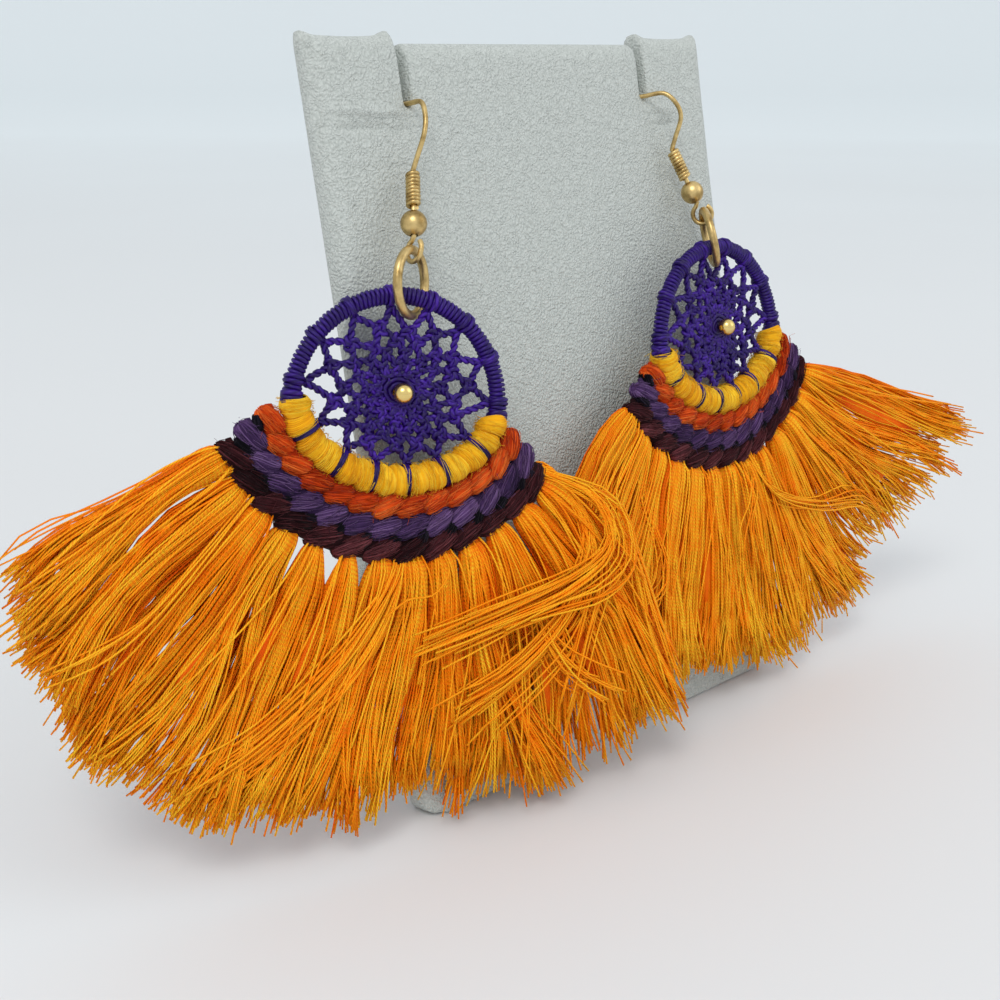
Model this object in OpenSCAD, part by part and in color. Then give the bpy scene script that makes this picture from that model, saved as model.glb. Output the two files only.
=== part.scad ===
// A pair of tassel drop earrings on their padded display stand, in millimetres.
// Z is up and the face of the stand looks along -Y. The origin lies on the table,
// under the middle of the panel's lower front edge.
// Each earring is drawn flat, X to its right, Y up and Z towards the viewer, with
// its hoop's centre at the origin, and is then hung from its slit.

/* [Stand] */
// Width of the padded panel
panel_w = 65; // [56:1:90]
// Height of the middle of the panel along its face
panel_h = 88.8; // [80:0.2:120]
// Thickness of the panel with its padding
panel_t = 4.2; // [3:0.1:7]
// How far the panel leans back from upright, in degrees
panel_lean = 11.5; // [8:0.5:16]
// Radius of the panel's two lower corners
panel_corner = 3; // [1:0.5:6]
// Distance from each side of the panel in to the slit that holds an ear hook
slit_inset = 12.7; // [9:0.1:16]
// Depth of each slit below the top of the panel
slit_depth = 7; // [4:0.5:14]
// Width of each slit
slit_w = 1.3; // [1:0.1:2.5]
// How far the panel's two outer ears stand above its middle
ear_rise = 0.9; // [0:0.1:3]
// Width of the leg behind the panel
leg_w = 26; // [16:1:40]
// Thickness of the leg
leg_t = 3; // [2:0.1:5]
// Height on the panel where the leg is fixed
leg_top = 60; // [45:1:75]
// Distance from the panel's front edge back to the end of the leg
leg_reach = 50; // [40:1:70]

/* [Ear hook] */
// Thickness of the hook's wire
hook_wire = 0.6; // [0.5:0.05:0.9]
// Length of hook that hangs behind the panel
hook_tail = 11; // [6:0.5:16]
// Distance down from the slit to the top of the coil
hook_drop = 7.7; // [6.6:0.1:9.4]
// How far the coil's top stands off the panel
hook_standoff = 2.7; // [2.4:0.1:3.4]
// Number of turns in the coil
coil_turns = 9; // [5:1:14]
// Thickness of the coil's wire
coil_wire = 0.52; // [0.3:0.02:0.6]
// Gap between the coil and the ball
coil_gap = 0.3; // [0.1:0.1:1]
// Diameter of the ball below the coil
ball_d = 3; // [2.4:0.1:4]
// Inner diameter of the eye that carries the ring
eye_bore = 1.95; // [1.8:0.05:2.2]

/* [Jump ring] */
// Outer diameter of the jump ring
ring_d = 8.2; // [6.5:0.1:10]
// Thickness of the jump ring's wire
ring_wire = 1.05; // [0.8:0.05:1.15]

/* [Hoop and net] */
// Radius of the hoop's upper half, to the middle of its tube
hoop_r = 12; // [10:0.25:15]
// Thickness of the hoop with its cord winding
hoop_tube = 2.1; // [1.5:0.1:2.6]
// Radius of the hoop's two lower shoulders
hoop_shoulder = 7; // [5:0.25:9]
// Angle that each shoulder turns through, in degrees
hoop_turn = 50; // [35:1:60]
// Number of places where the net is tied to the hoop
net_ties = 14; // [10:1:18]
// Thickness of the net
net_t = 0.9; // [0.6:0.1:1.4]
// Width of the net's strands
net_strand = 0.85; // [0.6:0.05:1.1]
// Height of the net's middle above the hoop's centre
net_rise = 1.4; // [0:0.1:3]
// Diameter of the brass bead on the net's middle
bead_d = 2.3; // [1.6:0.1:3]

/* [Knotted rows] */
// Thickness of the yellow yarn sleeve, hoop included
sleeve_d = 3.9; // [3.5:0.1:5]
// Width of each knotted row
row_w = 2.25; // [1.6:0.05:3]
// Depth of each knotted row, front to back
row_depth = 2.6; // [2:0.1:3.6]
// Number of knots along a row, with one fringe lock below each
row_knots = 13; // [9:1:17]
// Number of wraps along the yellow sleeve
sleeve_wraps = 17; // [11:1:23]

/* [Fringe] */
// Length of the fringe's threads below the rows
fringe_len = 34; // [24:0.5:35]
// Thickness of a lock at its fullest
lock_t = 4; // [2.8:0.1:4.4]
// Thickness of a lock where it leaves the rows
lock_root = 2.4; // [1.8:0.1:3]

/* [Hidden] */
$fn = 64;
// Gap kept between pieces that touch on the real thing
fit = 0.08;

// The two earrings
LEFT = 0;
RIGHT = 1;
// How each earring hangs, one row for each, angles in degrees.
// SLIT is the side of its slit. SWING tips the hook sideways and TURN turns it about
// its own upright. BOW is how far the wire bows off the panel, SLANT how far the coil
// leans off it. DOWN and OUT are added to hook_drop and hook_standoff. RING_SIDE and
// RING_OUT tip the jump ring sideways and forwards, and RING_FACE turns it. YAW, TILT
// and ROLL set the hoop.
SLIT = 0;
SWING = 1;
TURN = 2;
BOW = 3;
SLANT = 4;
DOWN = 5;
OUT = 6;
RING_SIDE = 7;
RING_OUT = 8;
RING_FACE = 9;
YAW = 10;
TILT = 11;
ROLL = 12;
HANG = [
    [-1, 19.2, -0.8, 3.4, 13.1, 0.43, -0.6, -18.5, 13, -64, 19, 8.9, -11.5],
    [1, -8.9, 26.5, 4, 13.7, -0.25, -0.75, -18.2, 37.4, -52, -1.6, 8.7, -0.6]
];

// Derived sizes of the stand
slit_x = panel_w / 2 - slit_inset;
seat_v = panel_h - slit_depth;
slit_floor = hook_wire / 2 + fit / 2;

// Derived sizes of the hook, down its drop from the top of the coil
coil_pitch = coil_wire * 0.94;
coil_len = coil_turns * coil_pitch + (coil_wire - coil_pitch);
coil_r = hook_wire / 2 + fit / 2 + coil_wire / 2;
ball_at = coil_len + coil_gap + ball_d / 2;
eye_r = eye_bore / 2 + hook_wire / 2;
eye_at = ball_at + ball_d / 2 + fit + hook_wire / 2 + eye_r;
ring_at = eye_at + eye_bore / 2 - ring_wire / 2 - 5 * fit;

// Derived sizes of the ring and hoop
ring_r = (ring_d - ring_wire) / 2;
hoop_low_r = hoop_shoulder + (hoop_r - hoop_shoulder) / cos(hoop_turn);
hoop_low_y = (hoop_r - hoop_shoulder) * tan(hoop_turn);
hang_gap = ring_wire / 2 + 6 * fit + hoop_tube / 2;
ring_room = 1.6 * ring_wire + fit;

// The knotted rows, one row of the table for each, from the hoop outwards.
// ROW_AT is the distance of its middle from the middle of the hoop's tube, ROW_END
// the angle below level at which it stops, and ROW_BUMPS the knots along it.
ROW_AT = 0;
ROW_END = 1;
ROW_BUMPS = 2;
ORANGE = 0;
VIOLET = 1;
MAROON = 2;
sleeve_at = -0.42;
sleeve_end = 2;
sleeve_edge = sleeve_at + sleeve_d / 2;
ROWS = [for (k = [0:2]) [sleeve_edge + fit + row_w / 2 + k * (row_w + fit), 8 + 7 * k, row_knots]];
fringe_at = ROWS[MAROON][ROW_AT] + row_w / 2 + fit;
fringe_end = ROWS[MAROON][ROW_END];

// The fringe's locks from left to right, shared out over row_knots locks.
// LEAN is the angle from straight down, in degrees, to the right. REACH is the lock's
// length and FLARE how far its tip stands forward, both as shares of fringe_len.
LEAN = 0;
REACH = 1;
FLARE = 2;
LOCKS = [
    [
        [-47, 0.80, 0.02], [-43, 0.90, 0.03], [-37, 0.93, 0.04], [-31, 0.96, 0.06],
        [-25, 0.94, 0.08], [-19, 0.92, 0.09], [-13, 0.90, 0.09], [-6, 0.85, 0.09],
        [3, 0.84, 0.07], [13, 0.87, 0.05], [22, 0.95, 0.03], [31, 1.00, 0.01],
        [39, 1.01, 0.00]
    ],
    [
        [-38, 0.93, -0.07], [-31, 0.90, -0.05], [-26, 0.88, -0.02], [-22, 0.86, 0.00],
        [-16, 0.82, 0.02], [-9, 0.81, 0.02], [0, 0.83, 0.02], [11, 0.89, 0.02],
        [19, 0.93, 0.02], [28, 0.93, 0.03], [39, 0.90, 0.06], [50, 0.92, 0.13],
        [63, 1.05, 0.22]
    ]
];

// A point of the panel: u across, n out of its face and v up it
function panel_point(u, n, v) = [
    u,
    v * sin(panel_lean) - n * cos(panel_lean),
    v * cos(panel_lean) + n * sin(panel_lean)
];

// A point of a hook's own plane, n out of the panel and v up, from the slit's floor
function hook_point(i, n, v) = let (h = HANG[i], across = n * sin(h[TURN])) panel_point(
    h[SLIT] * slit_x + across * cos(h[SWING]) + v * sin(h[SWING]),
    n * cos(h[TURN]),
    seat_v + v * cos(h[SWING]) - across * sin(h[SWING])
);

// The top of the coil, the drop below it and the way the ring hangs from the eye
function coil_out(i) = hook_standoff + HANG[i][OUT];
function coil_down(i) = hook_drop + HANG[i][DOWN];
function drop_point(i, far) = hook_point(
    i,
    coil_out(i) + far * sin(HANG[i][SLANT]),
    -coil_down(i) - far * cos(HANG[i][SLANT])
);
function unit(v) = v / norm(v);
function ring_down(i) = unit([tan(HANG[i][RING_SIDE]), -tan(HANG[i][RING_OUT]), -1]);
function ring_top(i) = drop_point(i, ring_at);

// A hoop's own right, up and forward directions in the stand's frame, and its centre
function hoop_level(i) = [cos(HANG[i][YAW]), -sin(HANG[i][YAW]), 0];
function hoop_front(i) = let (h = HANG[i])
    [-sin(h[YAW]) * cos(h[TILT]), -cos(h[YAW]) * cos(h[TILT]), sin(h[TILT])];
function hoop_rise(i) = cross(hoop_front(i), hoop_level(i));
function hoop_up(i) = cos(HANG[i][ROLL]) * hoop_rise(i) - sin(HANG[i][ROLL]) * hoop_level(i);
function hoop_centre(i) = ring_top(i) + (2 * ring_r - hang_gap) * ring_down(i) - hoop_r * hoop_up(i);

// Frames that the pieces are drawn in
module on_panel() rotate([-panel_lean, 0, 0]) children();

module on_hook(i) on_panel() translate([HANG[i][SLIT] * slit_x, 0, seat_v])
    rotate([0, HANG[i][SWING], 0]) rotate([0, 0, HANG[i][TURN]]) children();

module on_drop(i) on_hook(i) translate([0, -coil_out(i), -coil_down(i)])
    rotate([-HANG[i][SLANT], 0, 0]) children();

module on_earring(i) translate(hoop_centre(i)) rotate([0, 0, -HANG[i][YAW]])
    rotate([90 - HANG[i][TILT], 0, 0]) rotate([0, 0, HANG[i][ROLL]]) children();

// Surfaces swept through rings of points that all have the same even number of points
function ring_faces(n, rings, closed = false) = [
    for (j = [0:rings - (closed ? 1 : 2)], k = [0:n - 1]) let (
        next = (k + 1) % n,
        here = j * n,
        there = ((j + 1) % rings) * n
    ) each [[here + k, there + k, there + next], [here + k, there + next, here + next]]
];
function cap_faces(n, from) = [
    for (k = [0:n / 2 - 2]) each [
        [from + k, from + k + 1, from + n - 2 - k], [from + k, from + n - 2 - k, from + n - 1 - k]
    ]
];
function flipped(faces) = [for (f = faces) [f[2], f[1], f[0]]];
module swept(rings) {
    n = len(rings[0]);
    polyhedron(
        points = [for (r = rings, p = r) p],
        faces = concat(
            ring_faces(n, len(rings)),
            cap_faces(n, 0),
            flipped(cap_faces(n, (len(rings) - 1) * n))
        ),
        convexity = 8
    );
}

// A smooth line through a few points, with a number of steps between each two
function bent(p, k, t) = let (
    a = p[max(k - 1, 0)],
    b = p[k],
    c = p[k + 1],
    d = p[min(k + 2, len(p) - 1)]
) 0.5 * (2 * b + t * (c - a) + t * t * (2 * a - 5 * b + 4 * c - d) + t * t * t * (3 * b - a - 3 * c + d));
function smooth_line(p, steps) = concat(
    [for (k = [0:len(p) - 2], s = [0:steps - 1]) bent(p, k, s / steps)],
    [p[len(p) - 1]]
);

// Wire along a line: the ring's side direction is carried from point to point
function tangent(p, k) = unit(p[min(k + 1, len(p) - 1)] - p[max(k - 1, 0)]);
function carried(p, k) = k == 0
    ? unit(cross(tangent(p, 0), [0.1, 0.2, 1]))
    : let (t = tangent(p, k), s = carried(p, k - 1)) unit(s - (s * t) * t);
module wire(p, d, sides) {
    turn = [0:360 / sides:359];
    swept([
        for (k = [0:len(p) - 1]) let (t = tangent(p, k), s = carried(p, k), u = cross(t, s))
            [for (a = turn) p[k] + d / 2 * (cos(a) * s - sin(a) * u)]
    ]);
}

// Lines that follow the hoop's lower half at a distance: share 0 is the left end,
// 1 the right end. The answer is a point and the angle of its outward direction.
function rim_side(at, end) = (hoop_shoulder + at) * (hoop_turn - end) * PI / 180;
function rim_low(at) = (hoop_low_r + at) * (180 - 2 * hoop_turn) * PI / 180;
function rim_arc(c, r, a) = [c[0] + r * cos(a), c[1] + r * sin(a), a];
function rim_at(at, end, share) = let (
    side = rim_side(at, end),
    low = rim_low(at),
    along = share * (2 * side + low),
    r = hoop_shoulder + at,
    x = hoop_r - hoop_shoulder
) along < side ? rim_arc([-x, 0], r, 180 + end + along / r * 180 / PI)
    : along < side + low
    ? rim_arc([0, hoop_low_y], hoop_low_r + at,
        180 + hoop_turn + (along - side) / (hoop_low_r + at) * 180 / PI)
    : rim_arc([x, 0], r, 360 - hoop_turn + (along - side - low) / r * 180 / PI);

// A section across such a line: w along the outward direction and depth front to back
function section_at(p, w, depth, sides) = [
    for (k = [0:sides - 1]) let (a = (k + 0.5) * 360 / sides, out = w / 2 * cos(a) / cos(180 / sides))
        [p[0] + out * cos(p[2]), p[1] + out * sin(p[2]), -depth / 2 * sin(a) / cos(180 / sides)]
];
function row_section(at, end, share, w, depth, sides) = section_at(rim_at(at, end, share), w, depth, sides);

// Distance from the net's middle to a line inside the hoop, at an angle
function to_circle(c, r, a) = let (rel = c - [0, net_rise], m = rel * [cos(a), sin(a)])
    m + sqrt(max(r * r - rel * rel + m * m, 0));
function net_reach(a, in) = let (
    top = to_circle([0, 0], hoop_r - in, a),
    c = [(cos(a) < 0 ? -1 : 1) * (hoop_r - hoop_shoulder), 0],
    side = to_circle(c, hoop_shoulder - in, a),
    fall = net_rise + side * sin(a),
    out = abs(side * cos(a)) - abs(c[0])
) net_rise + top * sin(a) >= 0 ? top
    : out > 0 && atan2(fall, out) >= -hoop_turn ? side
    : to_circle([0, hoop_low_y], hoop_low_r - in, a);

// Stand

module rounded_top(x0, x1, top) translate([x0, 0, 0]) rotate([90, 0, 90]) linear_extrude(x1 - x0) {
    translate([0, -panel_t]) square([panel_t, top - panel_t / 2 + panel_t]);
    translate([panel_t / 2, top - panel_t / 2]) circle(panel_t / 2);
}

module panel_outline() {
    x = panel_w / 2;
    translate([-x, panel_corner]) square([panel_w, panel_h + ear_rise]);
    translate([-x + panel_corner, -panel_t]) square([panel_w - 2 * panel_corner, panel_h]);
    for (s = [-1, 1]) translate([s * (x - panel_corner), panel_corner]) circle(panel_corner);
}

module panel_plan() {
    x = panel_w / 2 - panel_t / 2;
    translate([-x, 0]) square([2 * x, panel_t]);
    for (s = [-1, 1]) translate([s * x, panel_t / 2]) circle(panel_t / 2);
}

module stand_panel() color("whitesmoke") intersection() {
    on_panel() difference() {
        intersection() {
            translate([0, 0, -panel_t]) linear_extrude(panel_h + ear_rise + 2 * panel_t) panel_plan();
            translate([0, 2 * panel_t, 0]) rotate([90, 0, 0]) linear_extrude(3 * panel_t) panel_outline();
            union() {
                rounded_top(-slit_x - slit_w / 4, slit_x + slit_w / 4, panel_h);
                rounded_top(-panel_w, -slit_x, panel_h + ear_rise);
                rounded_top(slit_x, panel_w, panel_h + ear_rise);
            }
        }
        for (s = [-1, 1]) translate([s * slit_x - slit_w / 2, -panel_t, seat_v - slit_floor])
            cube([slit_w, 3 * panel_t, panel_h]);
    }
    translate([-panel_w, -panel_h, 0]) cube([2 * panel_w, 2 * panel_h, 2 * panel_h]);
}

// Thickness across the leg's slope is leg_t, and its foot is cut level with the table
module stand_leg() {
    top = panel_point(0, -panel_t - fit, leg_top);
    slope = atan2(leg_reach - top[1], top[2]);
    below = panel_point(0, -panel_t - fit, leg_top - leg_t / sin(slope + panel_lean));
    foot = leg_t / cos(slope);
    color("gainsboro") translate([-leg_w / 2, 0, 0]) rotate([90, 0, 90]) linear_extrude(leg_w)
        polygon([[top[1], top[2]], [below[1], below[2]], [leg_reach - foot, 0], [leg_reach, 0]]);
}

// Hook, coil and ball

// A point straight behind the panel's face, in the slit or past it
function behind(i, far, z) = [far * sin(HANG[i][TURN]), far * cos(HANG[i][TURN]), z];

// The hook's line in its own plane, from the tail's tip over the slit to the coil
function hook_line(i) = let (
    b = HANG[i][BOW],
    down = coil_down(i)
) smooth_line([
    behind(i, panel_t + 2.6, -hook_tail),
    behind(i, panel_t + 1.6, -hook_tail * 0.6),
    behind(i, panel_t + 1.1, -hook_tail * 0.25),
    behind(i, panel_t + 0.3, -slit_floor * 0.2),
    behind(i, panel_t / 2, slit_floor * 0.5),
    behind(i, 0, slit_floor * 0.2),
    [0, -b * 0.62, -0.2],
    [0, -b * 0.95, -down * 0.25],
    [0, -b, -down * 0.5],
    [0, -(b * 0.4 + coil_out(i) * 0.6), -down * 0.8],
    [0, -coil_out(i), -down]
], 4);

// A point below the coil's top: far down the drop, and out from it in the bow's plane
function below_coil(i, far, out) = let (s = HANG[i][SLANT]) [
    0,
    -coil_out(i) - far * sin(s) - out * cos(s),
    -coil_down(i) - far * cos(s) + out * sin(s)
];

// The eye: back, down, and up again in front
function eye_line(i) = [
    for (a = [110:15:395]) below_coil(i, eye_at - eye_r * sin(a), eye_r * cos(a))
];

module ear_hook(i) color("darkgoldenrod") on_hook(i) wire(concat(
    hook_line(i),
    [for (far = [coil_len / 2, coil_len, ball_at, ball_at + ball_d / 2]) below_coil(i, far, 0)],
    eye_line(i)
), hook_wire, 6);

module hook_coil(i) color("goldenrod") on_drop(i) translate([0, 0, -coil_len]) rotate_extrude() {
    for (k = [0:coil_turns - 1]) translate([coil_r, coil_wire / 2 + k * coil_pitch]) circle(coil_wire / 2);
    translate([coil_r - coil_wire / 5, coil_wire / 2])
        square([coil_wire / 2.5, coil_len - coil_wire]);
}

module hook_ball(i) color("goldenrod") on_drop(i) translate([0, 0, -ball_at]) difference() {
    sphere(ball_d / 2);
    translate([0, 0, -ball_d]) cylinder(h = 2 * ball_d, d = hook_wire + 2 * fit);
}

// The ring's plane holds the way it hangs, and its axis is turned to RING_FACE
module jump_ring(i) {
    down = ring_down(i);
    face = [cos(HANG[i][RING_FACE]), sin(HANG[i][RING_FACE]), 0];
    axis = unit(face - (face * down) * down);
    color("goldenrod") translate(ring_top(i) + ring_r * down)
        rotate([0, acos(axis[2]), atan2(axis[1], axis[0])])
        rotate_extrude() translate([ring_r, 0]) circle(ring_wire / 2);
}

// Hoop and net

// One closed tube: the lower half follows the rows' line and the upper half is round
module hoop(i) color("indigo") on_earring(i) {
    sides = 8;
    lower = 30;
    upper = 26;
    rings = concat(
        [for (j = [0:lower]) row_section(0, 0, j / lower, hoop_tube, hoop_tube, sides)],
        [for (j = [1:upper - 1]) section_at(rim_arc([0, 0], hoop_r, 180 * j / upper), hoop_tube, hoop_tube, sides)]
    );
    polyhedron(
        points = [for (r = rings, p = r) p],
        faces = ring_faces(sides, len(rings), true),
        convexity = 8
    );
}

// The net's knots lie on rings, each a share of the way out to the hoop and half a
// step round from the last, and its gaps are the cells between them. The jump ring
// passes through the top gap, which is widened for it.
NET_RINGS = [1, 0.67, 0.54, 0.42, 0.31, 0.22];
net_hole = bead_d * 0.28;
function net_edge(a) = let (t = net_reach(a, hoop_tube / 2 + fit))
    net_rise + t * sin(a) > fit ? t : net_reach(a, sleeve_d / 2 - sleeve_at + fit);
function net_knot(ring, k) = let (a = 90 + (k - 0.5 + (ring % 2) / 2) * 360 / net_ties)
    [0, net_rise] + NET_RINGS[ring] * net_edge(a) * [cos(a), sin(a)];
function net_cell(ring, k) = let (o = ring % 2 == 0 ? -1 : 0)
    [net_knot(ring, k), net_knot(ring + 1, k + o), net_knot(ring + 2, k), net_knot(ring + 1, k + o + 1)];
function middle(p) = [1, 1, 1, 1] * p / 4;
function edge_gap(c, a, b) = abs(cross(b - a, c - a)) / norm(b - a);
function cell_gap(p) = let (c = middle(p)) min([for (k = [0:3]) edge_gap(c, p[k], p[(k + 1) % 4])]);
function drawn_in(p, in) = let (c = middle(p), keep = 1 - in / cell_gap(p)) [for (q = p) c + keep * (q - c)];
function rim_gap(k) = let (
    knot = net_knot(1, k),
    a = unit(net_knot(0, k) - knot),
    b = unit(net_knot(0, k + 1) - knot),
    start = knot + unit(a + b) * net_strand / 2 / sin(acos(a * b) / 2)
) [start, start + a * hoop_r / 2, start + b * hoop_r / 2];

module net(i) color("rebeccapurple") on_earring(i) linear_extrude(net_t, center = true) difference() {
    polygon([for (a = [0:5:355]) [0, net_rise] + net_edge(a) * [cos(a), sin(a)]]);
    translate([0, net_rise]) circle(net_hole);
    translate([0, hoop_r - hang_gap]) circle(ring_room);
    for (k = [0:net_ties - 1]) polygon(rim_gap(k));
    for (ring = [0:len(NET_RINGS) - 3], k = [0:net_ties - 1]) let (cell = net_cell(ring, k))
        if (cell_gap(cell) > net_strand / 2 + fit) polygon(drawn_in(cell, net_strand / 2));
}

// The bead sits in the hole at the net's middle
module net_bead(i) color("gold") on_earring(i)
    translate([0, net_rise, net_t / 2 + sqrt(pow(bead_d / 2 + fit, 2) - pow(net_hole, 2))])
    difference() {
        sphere(bead_d / 2);
        rotate([0, 90, 0]) cylinder(h = 2 * bead_d, d = bead_d / 4, center = true);
    }

// Yarn rows

// How full a row is at a share of its length, with a dip between each two bumps
function fullness(share, bumps, dip) = 1 - dip + dip * sqrt(abs(sin(180 * bumps * share)));
function end_taper(j, last) = j == 0 || j == last ? 0.62 : 1;

module knotted_row(i, row, tint) {
    last = 4 * ROWS[row][ROW_BUMPS];
    color(tint) on_earring(i) swept([
        for (j = [0:last]) let (f = end_taper(j, last) * fullness(j / last, ROWS[row][ROW_BUMPS], 0.16))
            row_section(ROWS[row][ROW_AT], ROWS[row][ROW_END], j / last, row_w * f, row_depth * f, 8)
    ]);
}

// The yellow sleeve of yarn round the hoop's lower half, with the hoop through it
module yellow_row(i) {
    sides = 8;
    last = 3 * sleeve_wraps;
    outer = [
        for (j = [0:last]) let (d = sleeve_d * fullness(j / last, sleeve_wraps, 0.07))
            row_section(sleeve_at, sleeve_end, j / last, d, d, sides)
    ];
    bore_d = hoop_tube + 2 * fit;
    bore = [for (j = [last:-1:0]) row_section(0, sleeve_end, j / last, bore_d, bore_d, sides)];
    rings = concat(outer, bore);
    color("goldenrod") on_earring(i) polyhedron(
        points = [for (r = rings, p = r) p],
        faces = ring_faces(sides, len(rings), true),
        convexity = 8
    );
}

module orange_row(i) knotted_row(i, ORANGE, "orangered");
module violet_row(i) knotted_row(i, VIOLET, "mediumpurple");
module maroon_row(i) knotted_row(i, MAROON, "maroon");

// Fringe: one sheet of locks side by side, thin between two locks and full in each

// A column of the locks' table at a share of the fringe's width
function lock_value(i, column, share) = let (
    t = LOCKS[i],
    at = share * len(t) - 0.5,
    k = min(max(floor(at), 0), len(t) - 2)
) t[k][column] + (t[k + 1][column] - t[k][column]) * (at - k);

// A point of the sheet's middle, from the root at 0 to the tip at 1
function fringe_point(i, share, along) = let (
    p = rim_at(fringe_at, fringe_end, share),
    len = fringe_len * lock_value(i, REACH, share) * fullness(share, row_knots, 0.06),
    lean = lock_value(i, LEAN, share),
    root = [p[0], p[1], 0],
    tip = root + len * [sin(lean), -cos(lean), 0]
        + fringe_len * lock_value(i, FLARE, share) * [0, 0, 1],
    bend = root + 0.3 * len * [cos(p[2]), sin(p[2]), 0]
) (1 - along) * (1 - along) * root + 2 * along * (1 - along) * bend + along * along * tip;

// Half the sheet's thickness along a lock, as shares of the way from root to tip
FULL_AT = 0;
FULL = 1;
LOCK_PROFILE = [
    [0, lock_root / 2], [0.2, lock_t * 0.42], [0.5, lock_t / 2], [0.8, lock_t * 0.46],
    [1, lock_t * 0.34]
];

function fringe_section(i, share) = let (full = fullness(share, row_knots, 0.62)) concat(
    [for (q = LOCK_PROFILE) fringe_point(i, share, q[FULL_AT]) + [0, 0, full * q[FULL]]],
    [for (k = [len(LOCK_PROFILE) - 1:-1:0]) let (q = LOCK_PROFILE[k])
        fringe_point(i, share, q[FULL_AT]) - [0, 0, full * q[FULL]]]
);

module fringe(i) {
    last = 6 * row_knots;
    color("orange") on_earring(i) swept([for (j = [0:last]) fringe_section(i, j / last)]);
}

stand_panel();
stand_leg();
ear_hook(LEFT);  // left_ear_hook
hook_coil(LEFT);  // left_hook_coil
hook_ball(LEFT);  // left_hook_ball
jump_ring(LEFT);  // left_jump_ring
hoop(LEFT);  // left_hoop
net(LEFT);  // left_net
net_bead(LEFT);  // left_net_bead
yellow_row(LEFT);  // left_yellow_row
orange_row(LEFT);  // left_orange_row
violet_row(LEFT);  // left_violet_row
maroon_row(LEFT);  // left_maroon_row
fringe(LEFT);  // left_fringe
ear_hook(RIGHT);  // right_ear_hook
hook_coil(RIGHT);  // right_hook_coil
hook_ball(RIGHT);  // right_hook_ball
jump_ring(RIGHT);  // right_jump_ring
hoop(RIGHT);  // right_hoop
net(RIGHT);  // right_net
net_bead(RIGHT);  // right_net_bead
yellow_row(RIGHT);  // right_yellow_row
orange_row(RIGHT);  // right_orange_row
violet_row(RIGHT);  // right_violet_row
maroon_row(RIGHT);  // right_maroon_row
fringe(RIGHT);  // right_fringe
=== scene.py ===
"""A pair of tassel earrings hung on their small padded display stand."""

import math
import random
from contextlib import contextmanager

import bpy
import numpy as np
from mathutils import Matrix, Vector, noise


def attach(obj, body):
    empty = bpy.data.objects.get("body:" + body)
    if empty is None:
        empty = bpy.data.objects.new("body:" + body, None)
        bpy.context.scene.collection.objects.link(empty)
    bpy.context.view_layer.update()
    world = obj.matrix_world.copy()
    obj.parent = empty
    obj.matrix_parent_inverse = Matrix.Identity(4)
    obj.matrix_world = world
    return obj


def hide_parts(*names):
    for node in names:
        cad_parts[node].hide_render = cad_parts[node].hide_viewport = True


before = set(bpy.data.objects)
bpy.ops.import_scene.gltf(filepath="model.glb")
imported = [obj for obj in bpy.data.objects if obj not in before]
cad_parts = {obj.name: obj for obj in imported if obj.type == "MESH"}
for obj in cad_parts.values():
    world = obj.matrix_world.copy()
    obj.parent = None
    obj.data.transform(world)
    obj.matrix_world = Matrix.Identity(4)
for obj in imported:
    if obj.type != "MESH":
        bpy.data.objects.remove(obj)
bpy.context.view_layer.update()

# Sizes of the part in millimetres and degrees, as in its source
MM = 0.001
PANEL_W = 65.0
PANEL_H = 89.7
PANEL_T = 4.2
PANEL_LEAN = 11.5
SEAT_V = 81.8
SLIT_X = 19.8
SLIT_FLOOR = 0.34
HOOK_WIRE = 0.6
HOOK_TAIL = 11.0
HOOK_DROP = 7.7
HOOK_STANDOFF = 2.7
COIL_WIRE = 0.52
COIL_TURNS = 9
COIL_STEPS = 24
COIL_LEN = 4.4304
COIL_R = 0.6
BALL_D = 3.0
BALL_AT = 6.2304
EYE_R = 1.275
EYE_AT = 9.3854
RING_AT = 9.4354
RING_R = 3.575
RING_WIRE = 1.05
RING_CUT = 1.1
RING_CUT_AT = 78.0
HOOP_R = 12.0
HOOP_TUBE = 2.1
WINDING_R = 0.25
WINDING_PITCH = 0.5
HOOP_SHOULDER = 7.0
HOOP_TURN = 50.0
HANG_GAP = 2.055
LOW_R = 14.78
LOW_Y = 5.96
NET_TIES = 14
NET_RISE = 1.4
NET_RINGS = (1, 0.76, 0.61, 0.47, 0.34, 0.23)
NET_CORD = 0.94
NET_TWIST = 1.7
NET_KNOT_SIZES = (0.84, 0.80, 0.70, 0.60, 0.50)
BEAD_D = 2.3
SLEEVE_D = 3.9
SLEEVE_AT = -0.42
SLEEVE_END = 2.0
WRAP_STRANDS = 13
WRAP_STRAND_R = 0.125
ROW_W = 2.25
ROW_DEPTH = 2.6
ROW_KNOTS = 13
ROW_FIBRES = 27
ROW_FIBRE_R = 0.12
ROW_HAIRS = 50
HAIR_R = 0.038
FUZZ_R = 0.02
FRINGE_AT = 8.6
FRINGE_END = 22.0
FRINGE_LEN = 34.0
LOCK_ROOT = 2.4
LOCK_T = 4.0
FIT = 0.08

# How each earring hangs: the side of its slit, then the angles and offsets of its source
HANG = {
    "left": dict(slit=-1, swing=19.2, turn=-0.8, bow=3.4, slant=13.1, down=0.43, out=-0.6,
                 ring_side=-18.5, ring_out=13, ring_face=-64, yaw=19, tilt=8.9, roll=-11.5),
    "right": dict(slit=1, swing=-8.9, turn=26.5, bow=4, slant=13.7, down=-0.25, out=-0.75,
                  ring_side=-18.2, ring_out=37.4, ring_face=-52, yaw=-1.6, tilt=8.7, roll=-0.6),
}

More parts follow.
